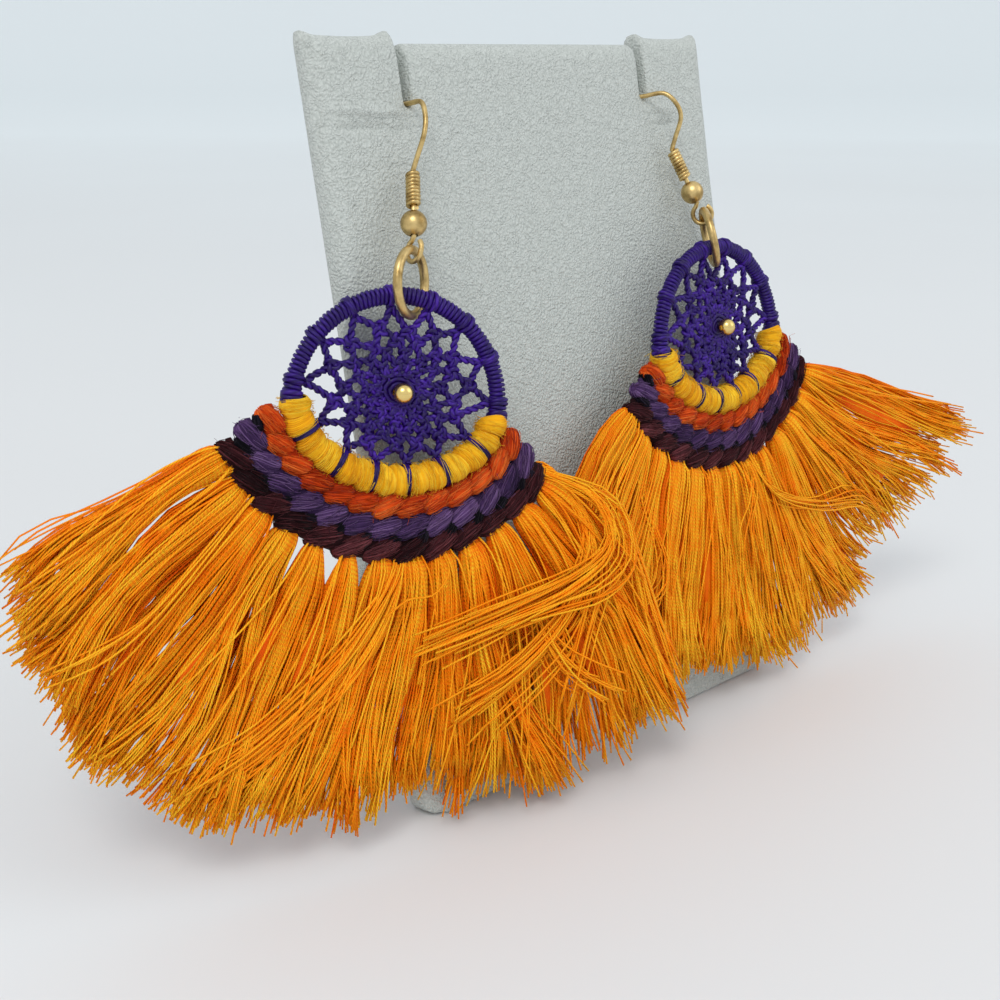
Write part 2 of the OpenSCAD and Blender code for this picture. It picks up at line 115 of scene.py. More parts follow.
# The fringe's locks from left to right: lean from straight down, reach and forward flare
LOCKS = {
    "left": ((-47, 0.80, 0.02), (-43, 0.90, 0.03), (-37, 0.93, 0.04), (-31, 0.96, 0.06),
             (-25, 0.94, 0.08), (-19, 0.92, 0.09), (-13, 0.90, 0.09), (-6, 0.85, 0.09),
             (3, 0.84, 0.07), (13, 0.87, 0.05), (22, 0.95, 0.03), (31, 1.00, 0.01),
             (39, 1.01, 0.00)),
    "right": ((-38, 0.93, -0.07), (-31, 0.90, -0.05), (-26, 0.88, -0.02), (-22, 0.86, 0.00),
              (-16, 0.82, 0.02), (-9, 0.81, 0.02), (0, 0.83, 0.02), (11, 0.89, 0.02),
              (19, 0.93, 0.02), (28, 0.93, 0.03), (39, 0.90, 0.06), (50, 0.92, 0.13),
              (63, 1.05, 0.22)),
}
LEAN, REACH, FLARE = 0, 1, 2


# Directions and frames
def sin(a):
    return math.sin(math.radians(a))


def cos(a):
    return math.cos(math.radians(a))


def tan(a):
    return math.tan(math.radians(a))


def unit(v):
    v = np.asarray(v, float)
    return v / np.linalg.norm(v, axis=-1, keepdims=True)


def square(v, axis):
    """The part of v that is square to a unit axis, made unit."""
    return unit(v - (v * axis).sum(-1, keepdims=True) * axis)


def panel_point(u, n, v):
    """A point of the leaning panel: across it, out from its face and up it."""
    return np.array([
        u,
        v * sin(PANEL_LEAN) - n * cos(PANEL_LEAN),
        v * cos(PANEL_LEAN) + n * sin(PANEL_LEAN),
    ])


def hook_point(side, n, v, across=0.0):
    h = HANG[side]
    over = n * sin(h["turn"]) + across * cos(h["turn"])
    deep = n * cos(h["turn"]) - across * sin(h["turn"])
    return panel_point(
        h["slit"] * SLIT_X + over * cos(h["swing"]) + v * sin(h["swing"]),
        deep,
        SEAT_V + v * cos(h["swing"]) - over * sin(h["swing"]),
    )


def coil_out(side):
    return HOOK_STANDOFF + HANG[side]["out"]


def coil_down(side):
    return HOOK_DROP + HANG[side]["down"]


def drop_point(side, far, across=0.0, lift=0.0):
    """A point below the coil's top: far down the drop, and beside it or off it."""
    s = HANG[side]["slant"]
    return hook_point(
        side,
        coil_out(side) + far * sin(s) + lift * cos(s),
        -coil_down(side) - far * cos(s) + lift * sin(s),
        across,
    )


def ring_down(side):
    h = HANG[side]
    return unit([tan(h["ring_side"]), -tan(h["ring_out"]), -1])


def earring_axes(side):
    """The hoop's own right, up and front directions, and its middle."""
    yaw, tilt, roll = (HANG[side][key] for key in ("yaw", "tilt", "roll"))
    level = np.array([cos(yaw), -sin(yaw), 0])
    front = np.array([-sin(yaw) * cos(tilt), -cos(yaw) * cos(tilt), sin(tilt)])
    rise = np.cross(front, level)
    up = cos(roll) * rise - sin(roll) * level
    right = cos(roll) * level + sin(roll) * rise
    middle = drop_point(side, RING_AT) + (2 * RING_R - HANG_GAP) * ring_down(side) - HOOP_R * up
    return right, up, front, middle


def to_stand(side, points):
    """Points of an earring's own frame, in the stand's frame."""
    right, up, front, middle = earring_axes(side)
    points = np.asarray(points, float)
    return middle + points[..., 0:1] * right + points[..., 1:2] * up + points[..., 2:3] * front


def rim_at(at, end, share):
    """A point on the line that follows the hoop's lower half, and its outward angle."""
    side = math.radians(HOOP_TURN - end) * (HOOP_SHOULDER + at)
    low = math.radians(180 - 2 * HOOP_TURN) * (LOW_R + at)
    along = share * (2 * side + low)
    r = HOOP_SHOULDER + at
    x = HOOP_R - HOOP_SHOULDER
    if along < side:
        a = 180 + end + math.degrees(along / r)
        return -x + r * cos(a), r * sin(a), a
    if along < side + low:
        a = 180 + HOOP_TURN + math.degrees((along - side) / (LOW_R + at))
        return (LOW_R + at) * cos(a), LOW_Y + (LOW_R + at) * sin(a), a
    a = 360 - HOOP_TURN + math.degrees((along - side - low) / r)
    return x + r * cos(a), r * sin(a), a


def rim_length(at, end):
    return (
        2 * math.radians(HOOP_TURN - end) * (HOOP_SHOULDER + at)
        + math.radians(180 - 2 * HOOP_TURN) * (LOW_R + at)
    )


def hoop_at(angle):
    """A point on the hoop's whole line by its angle: round above, the rows' line below."""
    a = angle % 360
    if a <= 180:
        return HOOP_R * cos(a), HOOP_R * sin(a), a
    return rim_at(0, 0, (a - 180) / 180)


def to_circle(cx, cy, r, a):
    m = cx * cos(a) + (cy - NET_RISE) * sin(a)
    return m + math.sqrt(max(r * r - cx * cx - (cy - NET_RISE) ** 2 + m * m, 0))


def net_reach(a, inset):
    top = to_circle(0, 0, HOOP_R - inset, a)
    if NET_RISE + top * sin(a) >= 0:
        return top
    x = (-1 if cos(a) < 0 else 1) * (HOOP_R - HOOP_SHOULDER)
    side = to_circle(x, 0, HOOP_SHOULDER - inset, a)
    fall = NET_RISE + side * sin(a)
    out = abs(side * cos(a)) - abs(x)
    if out > 0 and math.degrees(math.atan2(fall, out)) >= -HOOP_TURN:
        return side
    return to_circle(0, LOW_Y, LOW_R - inset, a)


def net_edge(a):
    reach = net_reach(a, HOOP_TUBE / 2 + FIT)
    if NET_RISE + reach * sin(a) > FIT:
        return reach
    return net_reach(a, SLEEVE_D / 2 - SLEEVE_AT + FIT)


def net_knot(ring, k):
    a = 90 + (k - 0.5 + (ring % 2) / 2) * 360 / NET_TIES
    r = NET_RINGS[ring] * net_edge(a) * (0.88 if ring == 1 and k % NET_TIES == 0 else 1)
    return np.array([r * cos(a), NET_RISE + r * sin(a), 0.0])


def lock_value(side, column, share):
    table = LOCKS[side]
    at = min(max(share, 0), 1) * len(table) - 0.5
    k = min(max(math.floor(at), 0), len(table) - 2)
    return table[k][column] + (table[k + 1][column] - table[k][column]) * (at - k)


def smooth_line(knots, steps):
    """A smooth line through a few points, with a number of steps between each two."""
    p = [np.asarray(q, float) for q in knots]
    line = []
    for k in range(len(p) - 1):
        a, b, c, d = p[max(k - 1, 0)], p[k], p[k + 1], p[min(k + 2, len(p) - 1)]
        for s in range(steps):
            t = s / steps
            line.append(0.5 * (2 * b + t * (c - a) + t * t * (2 * a - 5 * b + 4 * c - d)
                               + t ** 3 * (3 * b - a - 3 * c + d)))
    line.append(p[-1])
    return np.array(line)


# Yarn, cord and thread: round strands swept along lines, many in one mesh

# A face's corners: this step or the next, and this side of the section or the next
CORNERS = ((0, 0), (0, 1), (1, 1), (1, 0))


class Strands:
    def __init__(self):
        self.points, self.faces, self.uvs, self.tones, self.count = [], [], [], [], 0

    def add(self, lines, radius, sides, tone, closed=False, across=None, flat=1.0, grain=(1, 1)):
        """Lines is strands x steps x 3 in millimetres. Across fixes the section's first
        direction, flat is the section's second radius as a share of the first, and grain
        stretches the yarn's pattern along the strand and round it."""
        lines = np.asarray(lines, float)
        if lines.ndim == 2:
            lines = lines[None]
        n, steps = lines.shape[:2]
        if closed:
            tangents = unit(np.roll(lines, -1, 1) - np.roll(lines, 1, 1))
        else:
            tangents = unit(np.gradient(lines, axis=1) + 1e-12)
        if across is None:
            start = np.where(np.abs(tangents[:, 0, 2:3]) < 0.8, [[0, 0.1, 1]], [[1, 0.1, 0]])
            side = unit(np.cross(tangents[:, 0], start))
            carried = []
            for j in range(steps):
                side = square(side, tangents[:, j])
                carried.append(side)
            firsts = np.stack(carried, 1)
            if closed:
                last = square(firsts[:, -1], tangents[:, 0])
                turn = np.arctan2(
                    (np.cross(last, firsts[:, 0]) * tangents[:, 0]).sum(1),
                    (last * firsts[:, 0]).sum(1),
                )
                spin = (turn[:, None] * np.arange(steps)[None] / steps)[..., None]
                firsts = np.cos(spin) * firsts + np.sin(spin) * np.cross(tangents, firsts)
        else:
            firsts = square(np.broadcast_to(np.asarray(across, float), lines.shape), tangents)
        seconds = np.cross(tangents, firsts)
        radius = np.broadcast_to(np.asarray(radius, float), (n, steps))
        a = np.arange(sides) * 2 * math.pi / sides
        rings = (
            lines[:, :, None]
            + radius[..., None, None] * np.cos(a)[:, None] * firsts[:, :, None]
            + radius[..., None, None] * flat * np.sin(a)[:, None] * seconds[:, :, None]
        )
        self.points.append(rings.reshape(-1, 3))
        tone = np.asarray(tone, float)
        tone = tone if tone.ndim == 2 else np.broadcast_to(tone, (n,))[:, None]
        self.tones.append(np.repeat(np.broadcast_to(tone, (n, steps)).ravel(), sides))
        spans = steps if closed else steps - 1
        run = np.zeros((n, steps + 1))
        hops = np.linalg.norm(np.roll(lines, -1, 1) - lines, axis=2)
        run[:, 1:] = np.cumsum(hops, 1)
        base = self.count + (np.arange(n) * steps * sides)[:, None, None]
        j = np.arange(spans)[None, :, None]
        k = np.arange(sides)[None, None, :]
        j2, k2 = (j + 1) % steps, (k + 1) % sides
        quads = np.stack([base + (j, j2)[a] * sides + (k, k2)[b] for a, b in CORNERS], -1)
        self.faces += quads.reshape(-1, 4).tolist()
        u = [run[:, :spans, None] + 0 * k, run[:, 1:spans + 1, None] + 0 * k]
        v = [k / sides + 0 * u[0], (k + 1) / sides + 0 * u[0]]
        uv = np.stack([np.stack([u[a], v[b]], -1) for a, b in CORNERS], -2)
        self.uvs.append(uv.reshape(-1, 2) * grain)
        if not closed:
            for s in range(n):
                here = int(base[s, 0, 0])
                end = here + (steps - 1) * sides
                self.faces.append([here + q for q in reversed(range(sides))])
                self.faces.append([end + q for q in range(sides)])
            self.uvs.append(np.zeros((n * 2 * sides, 2)))
        self.count += n * steps * sides

    def piece(self, name, side, material, slot, *nodes):
        """Puts all the strands into one mesh, from the earring's frame into the stand's."""
        mesh = bpy.data.meshes.new(name)
        points = to_stand(side, np.concatenate(self.points))
        mesh.from_pydata((points * MM).tolist(), [], self.faces)
        layer = mesh.uv_layers.new(name="strand")
        layer.data.foreach_set("uv", np.concatenate(self.uvs).ravel())
        tone = mesh.attributes.new("tone", "FLOAT", "POINT")
        tone.data.foreach_set("value", np.concatenate(self.tones))
        mesh.polygons.foreach_set("use_smooth", np.ones(len(self.faces), bool))
        mesh.update()
        dress(placed(name, mesh), material, slot, *nodes)


def begin(seed, side):
    """The random draws of a piece, and its strands."""
    return random.Random(seed + (side == "right")), Strands()


def dress(piece, material, slot, *nodes):
    """Gives a piece its material, puts it under the root body and hides the CAD parts it stands
    for.
    """
    piece.data.materials.clear()
    piece.data.materials.append(material)
    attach(piece, "root")
    if nodes:
        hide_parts(*nodes)


# Materials
class Nodes:
    """A short way to lay out a material's nodes."""

    def __init__(self, name):
        self.material = bpy.data.materials.new(name)
        self.material.use_nodes = True
        self.tree = self.material.node_tree
        self.shader = self.tree.nodes["Principled BSDF"]

    def add(self, kind, **inputs):
        node = self.tree.nodes.new(kind)
        for key, value in inputs.items():
            if hasattr(node, key):
                setattr(node, key, value)
        return node

    def link(self, out, to):
        self.tree.links.new(out, to)

    def feed(self, socket, value):
        """Sets a socket to a value or a colour, or links another node's output to it."""
        if isinstance(value, (int, float)):
            socket.default_value = value
        elif isinstance(value, tuple):
            socket.default_value = (*value, 1)
        else:
            self.link(value, socket)

    def calc(self, operation, *values, clamp=False):
        node = self.add("ShaderNodeMath", operation=operation, use_clamp=clamp)
        for socket, value in zip(node.inputs, values):
            self.feed(socket, value)
        return node.outputs[0]

    def mix(self, factor, a, b, blend="MIX"):
        node = self.add("ShaderNodeMix", data_type="RGBA", blend_type=blend)
        for k, value in ((0, factor), (6, a), (7, b)):
            self.feed(node.inputs[k], value)
        return node.outputs[2]

    def noise(self, scale, detail, rough=0.5, vector=None):
        """Noise with features 1/scale millimetres across."""
        node = self.add("ShaderNodeTexNoise")
        node.inputs["Scale"].default_value = scale * 1000
        node.inputs["Detail"].default_value = detail
        node.inputs["Roughness"].default_value = rough
        self.link(vector or self.place(), node.inputs["Vector"])
        return node.outputs["Fac"]

    def place(self):
        return self.add("ShaderNodeTexCoord").outputs["Object"]

    def ramp(self, factor, stops):
        node = self.add("ShaderNodeValToRGB")
        while len(node.color_ramp.elements) < len(stops):
            node.color_ramp.elements.new(0.5)
        for element, (at, colour) in zip(node.color_ramp.elements, stops):
            element.position = at
            element.color = (*colour, 1)
        self.link(factor, node.inputs[0])
        return node.outputs[0]

    def bump(self, height, distance, strength=1.0, below=None):
        node = self.add("ShaderNodeBump")
        node.inputs["Strength"].default_value = strength
        node.inputs["Distance"].default_value = distance * MM
        self.link(height, node.inputs["Height"])
        if below is not None:
            self.link(below, node.inputs["Normal"])
        return node.outputs[0]

    def mapped(self, vector, scale, turn=(0, 0, 0)):
        node = self.add("ShaderNodeMapping")
        node.inputs["Rotation"].default_value = turn
        node.inputs["Scale"].default_value = scale
        self.link(vector, node.inputs["Vector"])
        return node.outputs[0]

    def split(self, vector):
        node = self.add("ShaderNodeSeparateXYZ")
        self.link(vector, node.inputs[0])
        return node.outputs

    def set(self, **values):
        for key, value in values.items():
            self.feed(self.shader.inputs[key.replace("_", " ")], value)


def linear(r, g, b):
    """A screen colour as the shader's own values."""
    return tuple(c / 12.92 if c <= 0.04045 else ((c + 0.055) / 1.055) ** 2.4
                 for c in (r / 255, g / 255, b / 255))


PLIES = 2


def yarn(name, dark, mid, light, pitch=2.2, rough=0.75, sheen=0.05, wool=0.8, relief=0.035,
         shine=0.08, twist=0.35):
    """Twisted yarn: slanted plies along each strand, with painted shade in the grooves between
    plies (twist sets how dark), fine fibres, and a tone for each strand.
    Pitch is a ply's turn in mm, and relief is in mm too."""
    dark, mid, light = linear(*dark), linear(*mid), linear(*light)
    n = Nodes(name)
    uv = n.add("ShaderNodeUVMap", uv_map="strand").outputs[0]
    u, v, _ = n.split(uv)
    turns = n.calc("ADD", n.calc("MULTIPLY", u, 2 * math.pi / pitch),
                   n.calc("MULTIPLY", v, 2 * math.pi * PLIES))
    ply = n.calc("POWER", n.calc("MULTIPLY_ADD", n.calc("SINE", turns), 0.5, 0.5), 0.6)
    fibre = n.add("ShaderNodeTexNoise")
    fibre.inputs["Scale"].default_value = 1.6
    fibre.inputs["Detail"].default_value = 1.5
    n.link(n.mapped(uv, (1.0, 9.0, 1.0)), fibre.inputs["Vector"])
    cloud = n.noise(0.45, 1)
    tone = n.add("ShaderNodeAttribute", attribute_name="tone").outputs["Fac"]
    mottled = n.calc("ADD", n.calc("MULTIPLY", tone, 0.62), n.calc("MULTIPLY", cloud, 0.38))
    base = n.ramp(mottled, ((0.12, dark), (0.5, mid), (0.9, light)))
    # painted shade: the grooves between plies are mixed towards the dark colour, so the ply tops
    # read as lighter dashes
    shaded = n.mix(n.calc("MULTIPLY", n.calc("SUBTRACT", 1.0, ply), twist), base, dark)
    fine = fibre.outputs["Fac"]
    woolly = n.mix(n.calc("MULTIPLY", fine, wool, clamp=True), shaded, light, "SOFT_LIGHT")
    n.set(Base_Color=woolly, Roughness=n.calc("MULTIPLY_ADD", fine, 0.25, rough - 0.12),
          Normal=n.bump(fine, relief * 0.5, 0.8, n.bump(ply, relief)),
          Sheen_Weight=sheen, Sheen_Roughness=0.4, Specular_IOR_Level=shine)
    return n.material


def lighter(colour, share):
    return tuple(min(1, c * share) for c in colour)


def brass(name, colour, dark, rough):
    """Old brass: brushed, a little cloudy, darker in patches."""
    n = Nodes(name)
    patches = n.noise(0.5, 4, 0.6)
    base = n.ramp(patches, ((0.32, dark), (0.56, colour), (0.75, lighter(colour, 1.12))))
    fine = n.noise(7.0, 4, 0.6)
    n.set(Base_Color=base, Roughness=n.calc("MULTIPLY_ADD", fine, 0.22, rough - 0.08),
          Normal=n.bump(fine, 0.012, 0.6), Metallic=1.0)
    return n.material


def leatherette(name, colour, valley_shade):
    """Pale leatherette with a fine pebbled grain and soft long wrinkles; its colour carries painted
    shade in the low grain and between the pebbles, and painted light on the high grain.
    """
    n = Nodes(name)
    place = n.place()
    bend = n.add("ShaderNodeTexNoise")
    bend.inputs["Scale"].default_value = 900
    bend.inputs["Detail"].default_value = 0
    n.link(place, bend.inputs["Vector"])
    shift = n.add("ShaderNodeVectorMath", operation="MULTIPLY_ADD")
    n.link(bend.outputs["Color"], shift.inputs[0])
    shift.inputs[1].default_value = (0.0006, 0.0006, 0.0006)
    n.link(place, shift.inputs[2])
    pebble = n.add("ShaderNodeTexVoronoi", feature="F1")
    pebble.inputs["Scale"].default_value = 3000
    n.link(shift.outputs[0], pebble.inputs["Vector"])
    grain = n.noise(3.2, 3, 0.65, shift.outputs[0])
    long = n.mapped(place, (0.35, 1.0, 1.0), (0, math.radians(-24), 0))
    wrinkle = n.noise(0.55, 2, 0.6, long)
    # painted shade and light: the grain's colour follows its bump, dark where low and light where
    # high, and the pebbles' edges are painted darker
    tone = n.ramp(grain, ((0.22, valley_shade), (0.50, colour), (1.0, lighter(colour, 1.05))))
    crease_shade = n.ramp(pebble.outputs["Distance"], ((0.30, (0, 0, 0)), (0.75, (1, 1, 1))))
    soft = n.mix(n.calc("MULTIPLY", crease_shade, 0.4), tone, valley_shade)
    low = n.bump(wrinkle, 0.08, 0.8)
    mid = n.bump(grain, 0.10, 0.9, low)
    pebbles = n.calc("SUBTRACT", 1.0, pebble.outputs["Distance"])
    n.set(Base_Color=soft, Roughness=n.calc("MULTIPLY_ADD", grain, 0.25, 0.42),
          Normal=n.bump(pebbles, 0.17, 1.0, mid), Specular_IOR_Level=0.38)
    return n.material


CORD = yarn("waxed_purple_cord", (12, 0, 38), (42, 9, 106), (80, 32, 172), 1.2, rough=0.42,
            sheen=0.0, wool=0.2, relief=0.03, shine=0.3, twist=0.6)
YELLOW = yarn("yellow_wool", (206, 134, 12), (246, 182, 24), (255, 218, 74),
              relief=0.02, shine=0.2, wool=0.7)
ORANGE = yarn("orange_wool", (140, 44, 10), (206, 84, 24), (240, 134, 60))
VIOLET = yarn("violet_wool", (46, 32, 60), (90, 64, 108), (140, 112, 156))
MAROON = yarn("maroon_wool", (28, 8, 12), (76, 34, 40), (132, 76, 82))
BLACK = yarn("black_wool", (8, 7, 12), (22, 18, 28), (50, 42, 60), rough=0.9, wool=0.5,
             relief=0.02, shine=0.1)
THREAD = yarn("fringe_thread", (232, 86, 0), (255, 148, 2), (255, 204, 42), 0.5, rough=0.55,
              sheen=0.0, wool=0.2, relief=0.024, shine=0.12, twist=0.65)
WIRE = brass("old_brass_wire", linear(216, 188, 128), linear(150, 122, 72), 0.34)
BEAD = brass("bright_brass_bead", linear(232, 204, 130), linear(186, 152, 84), 0.2)
LEATHER = leatherette("pale_leatherette", linear(197, 202, 197), linear(164, 170, 164))
# painted shade: the leg, behind the panel, gets a darker copy of the panel's leatherette
SHADED_LEG_LEATHER = leatherette("shaded_leg_leatherette", linear(190, 196, 191), linear(166, 172, 166))


# Tools of the bench
def placed(name, data):
    """A new object in the scene."""
    thing = bpy.data.objects.new(name, data)
    bpy.context.scene.collection.objects.link(thing)
    return thing


def pick(piece):
    bpy.ops.object.select_all(action="DESELECT")
    piece.select_set(True)
    bpy.context.view_layer.objects.active = piece


def settle(piece):
    """Puts a piece's place into its mesh."""
    pick(piece)
    bpy.ops.object.transform_apply(location=True, rotation=True, scale=True)


@contextmanager
def edit_mode(piece):
    """Edit mode on a piece, with all of it selected."""
    pick(piece)
    bpy.ops.object.mode_set(mode="EDIT")
    bpy.ops.mesh.select_all(action="SELECT")
    yield
    bpy.ops.object.mode_set(mode="OBJECT")


def select_faces(piece, test):
    """Selects, in edit mode, the faces whose middles pass a test."""
    bpy.ops.mesh.select_all(action="DESELECT")
    bpy.ops.object.mode_set(mode="OBJECT")
    for face in piece.data.polygons:
        face.select = test(face)
    bpy.ops.object.mode_set(mode="EDIT")


def wire_piece(name, points, diameter, sides):
    """Round wire along a line, made as a curve and turned into a mesh."""
    curve = bpy.data.curves.new(name, "CURVE")
    curve.dimensions = "3D"
    curve.bevel_depth = diameter / 2 * MM
    curve.bevel_resolution = sides
    curve.use_fill_caps = True
    spline = curve.splines.new("POLY")
    spline.points.add(len(points) - 1)
    for dot, p in zip(spline.points, points):
        dot.co = (*(np.asarray(p) * MM), 1)
    pick(placed(name, curve))
    bpy.ops.object.convert(target="MESH")
    piece = bpy.context.object
    with edit_mode(piece):
        bpy.ops.mesh.remove_doubles(threshold=0.000002)
        bpy.ops.mesh.normals_make_consistent(inside=False)
    bpy.ops.object.shade_smooth_by_angle(angle=math.radians(50))
    return piece


def turned(axis):
    """The rotation that points a primitive's own Z along an axis."""
    return Vector(axis).to_track_quat("Z", "Y").to_euler()


def drilled_ball(name, centre, axis, diameter, hole):
    """A ball with a drilled hole at each end of its axis."""
    bpy.ops.mesh.primitive_uv_sphere_add(
        segments=32, ring_count=20, radius=diameter / 2 * MM,
        location=tuple(centre * MM), rotation=turned(axis),
    )
    ball = bpy.context.object
    ball.name = ball.data.name = name
    settle(ball)
    with edit_mode(ball):
        for way in (1, -1):
            def at_hole(face):
                off = np.array(face.center) / MM - centre
                height = off @ axis * way
                return height > 0 and np.linalg.norm(off - off @ axis * axis) < hole * 0.52
            select_faces(ball, at_hole)
            inward = tuple(-way * axis * diameter * 0.3 * MM)
            bpy.ops.mesh.extrude_region_move(TRANSFORM_OT_translate={"value": inward})
        bpy.ops.mesh.select_all(action="SELECT")
        bpy.ops.mesh.normals_make_consistent(inside=False)
    bpy.ops.object.shade_smooth_by_angle(angle=math.radians(50))
    return ball


# Stand
def merged_copy(node, name):
    """A copy of a CAD node's mesh with its loose triangles joined."""
    copy = placed(name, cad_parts[node].data.copy())
    with edit_mode(copy):
        bpy.ops.mesh.remove_doubles(threshold=0.00001)
    return copy


def apply_modifier(piece, kind, **settings):
    modifier = piece.modifiers.new(kind.lower(), kind)
    for key, value in settings.items():
        setattr(modifier, key, value)
    pick(piece)
    bpy.ops.object.modifier_apply(modifier=modifier.name)


def furrow(along, across, start, end, width):
    """A pressed line: deepest on its middle, fading at both ends."""
    if along < start - 2 or along > end + 2:
        return 0.0
    fade = min(1.0, max(0.0, (along - start + 2) / 3)) * min(1.0, max(0.0, (end + 2 - along) / 3))
    return fade * math.exp(-((across / width) ** 2))


def panel_relief(u, v):
    """How far the front cover stands off its board: soft waves, and creases by the slits."""
    off = 0.16 * noise.noise(Vector((u * 0.06, v * 0.05, 3.1)))
    off += 0.07 * noise.noise(Vector((u * 0.2, v * 0.16, 9.4)))
    for slit, tilt, first, reach in ((-SLIT_X, 0.055, 1.7, 10.5), (SLIT_X, -0.04, 2.4, 5.0)):
        away = (slit - u) * (1 if slit < 0 else -1)
        for step, depth in ((first, 0.46), (first + 0.95, 0.40), (first + 5.4, 0.10)):
            line = SEAT_V - step + tilt * away
            off -= depth * furrow(away, v - line, 0.6, reach, 0.32)
            off += depth * 0.5 * furrow(away, v - line - 0.6, 0.6, reach, 0.5)
        near = math.hypot(u - slit, max(0.0, SEAT_V - v))
        off -= 0.35 * math.exp(-((near / 2.2) ** 2))
    return off


def panel_ears(u, v):
    """How far the cover stands up: pinched corners on the top edge, and sags between them."""
    up = 0.0
    for corner in (PANEL_W / 2, SLIT_X + 0.7, -SLIT_X - 0.7, -PANEL_W / 2):
        up += 0.58 * math.exp(-((u - corner) ** 2 + (v - PANEL_H) ** 2) / 1.2)
    middle = (PANEL_W / 2 + SLIT_X) / 2
    return up - 0.14 * math.exp(-((abs(u) - middle) / 3.6) ** 2 - ((v - PANEL_H) / 3.0) ** 2)


def make_panel():
    """The padded panel: the board's form remeshed finely, its cover waved and creased."""
    panel = merged_copy("stand_panel", "stand_padded_panel")
    upright = Matrix.Rotation(math.radians(PANEL_LEAN), 4, "X")
    panel.data.transform(upright)
    apply_modifier(panel, "REMESH", mode="VOXEL", voxel_size=0.42 * MM)
    apply_modifier(panel, "SMOOTH", factor=0.5, iterations=4)
    count = len(panel.data.vertices)
    places, normals = np.empty(count * 3), np.empty(count * 3)
    panel.data.vertices.foreach_get("co", places)
    panel.data.vertices.foreach_get("normal", normals)
    places, normals = places.reshape(-1, 3), normals.reshape(-1, 3)
    for k in np.nonzero(normals[:, 1] < -0.25)[0]:
        places[k, 1] += panel_relief(places[k, 0] / MM, places[k, 2] / MM) * normals[k, 1] * MM
    for k in np.nonzero(places[:, 2] > (PANEL_H - 6) * MM)[0]:
        places[k, 2] += panel_ears(places[k, 0] / MM, places[k, 2] / MM) * MM
    panel.data.vertices.foreach_set("co", places.ravel())
    panel.data.transform(upright.inverted())
    panel.data.update()
    apply_modifier(panel, "DECIMATE", ratio=0.36)
    pick(panel)
    bpy.ops.object.shade_smooth()
    dress(panel, LEATHER, "leatherette", "stand_panel")


def make_leg():
    """The leg behind: a covered board with rounded edges."""
    leg = merged_copy("stand_leg", "stand_covered_leg")
    with edit_mode(leg):
        bpy.ops.mesh.dissolve_limited(angle_limit=math.radians(3))
    apply_modifier(leg, "BEVEL", width=0.5 * MM, segments=3, limit_method="ANGLE")
    pick(leg)
    bpy.ops.object.shade_smooth_by_angle(angle=math.radians(40))
    dress(leg, SHADED_LEG_LEATHER, "leatherette", "stand_leg")


# Hooks, coils, balls and rings
def hook_points(side):
    """The hook's wire from its tail behind the panel, over the bow and down to the eye."""
    bow, down, out = HANG[side]["bow"], coil_down(side), coil_out(side)
    knots = [
        panel_side(side, PANEL_T + 2.6, -HOOK_TAIL),
        panel_side(side, PANEL_T + 1.6, -HOOK_TAIL * 0.6),
        panel_side(side, PANEL_T + 1.1, -HOOK_TAIL * 0.25),
        panel_side(side, PANEL_T + 0.3, -SLIT_FLOOR * 0.2),
        panel_side(side, PANEL_T / 2, SLIT_FLOOR * 0.5),
        panel_side(side, 0, SLIT_FLOOR * 0.2),
        hook_point(side, bow * 0.62, -0.2),
        hook_point(side, bow * 0.95, -down * 0.25),
        hook_point(side, bow, -down * 0.5),
        hook_point(side, bow * 0.4 + out * 0.6, -down * 0.8),
        hook_point(side, out, -down),
    ]
    line = list(smooth_line(knots, 6))
    for far in (COIL_LEN / 2, COIL_LEN, BALL_AT, BALL_AT + BALL_D / 2):
        line.append(drop_point(side, far))
    for step in range(39):
        a = 110 + 7.5 * step
        line.append(drop_point(side, EYE_AT - EYE_R * sin(a), 0, EYE_R * cos(a)))
    return line


def panel_side(side, far, v):
    """A point straight behind the panel's face, in the slit or past it."""
    turn = HANG[side]["turn"]
    x, y = far * sin(turn), far * cos(turn)
    return hook_point(side, -x * sin(turn) - y * cos(turn), v, x * cos(turn) - y * sin(turn))


def make_hook(side):
    hook = wire_piece(f"{side}_hook_wire", hook_points(side), HOOK_WIRE, 3)
    dress(hook, WIRE, "brass_wire", f"{side}_ear_hook")


def make_coil(side):
    """Nine close turns of thin wire, the ends tucked in against the hook."""
    line = []
    for step in range(COIL_TURNS * COIL_STEPS + 1):
        turns = step / COIL_STEPS
        a = turns * 360
        r = COIL_R * (1 - 0.16 * max(0.0, 1 - min(turns, COIL_TURNS - turns) / 0.3))
        down = COIL_WIRE / 2 + turns / COIL_TURNS * (COIL_LEN - COIL_WIRE)
        line.append(drop_point(side, down, r * cos(a), r * sin(a)))
    coil = wire_piece(f"{side}_wire_coil", line, COIL_WIRE, 2)
    dress(coil, WIRE, "brass_wire", f"{side}_hook_coil")


def make_ball(side):
    centre, axis = drop_point(side, BALL_AT), unit(drop_point(side, 1) - drop_point(side, 0))
    ball = drilled_ball(f"{side}_drilled_ball", centre, axis, BALL_D, HOOK_WIRE + 0.3)
    dress(ball, WIRE, "brass_bead", f"{side}_hook_ball")


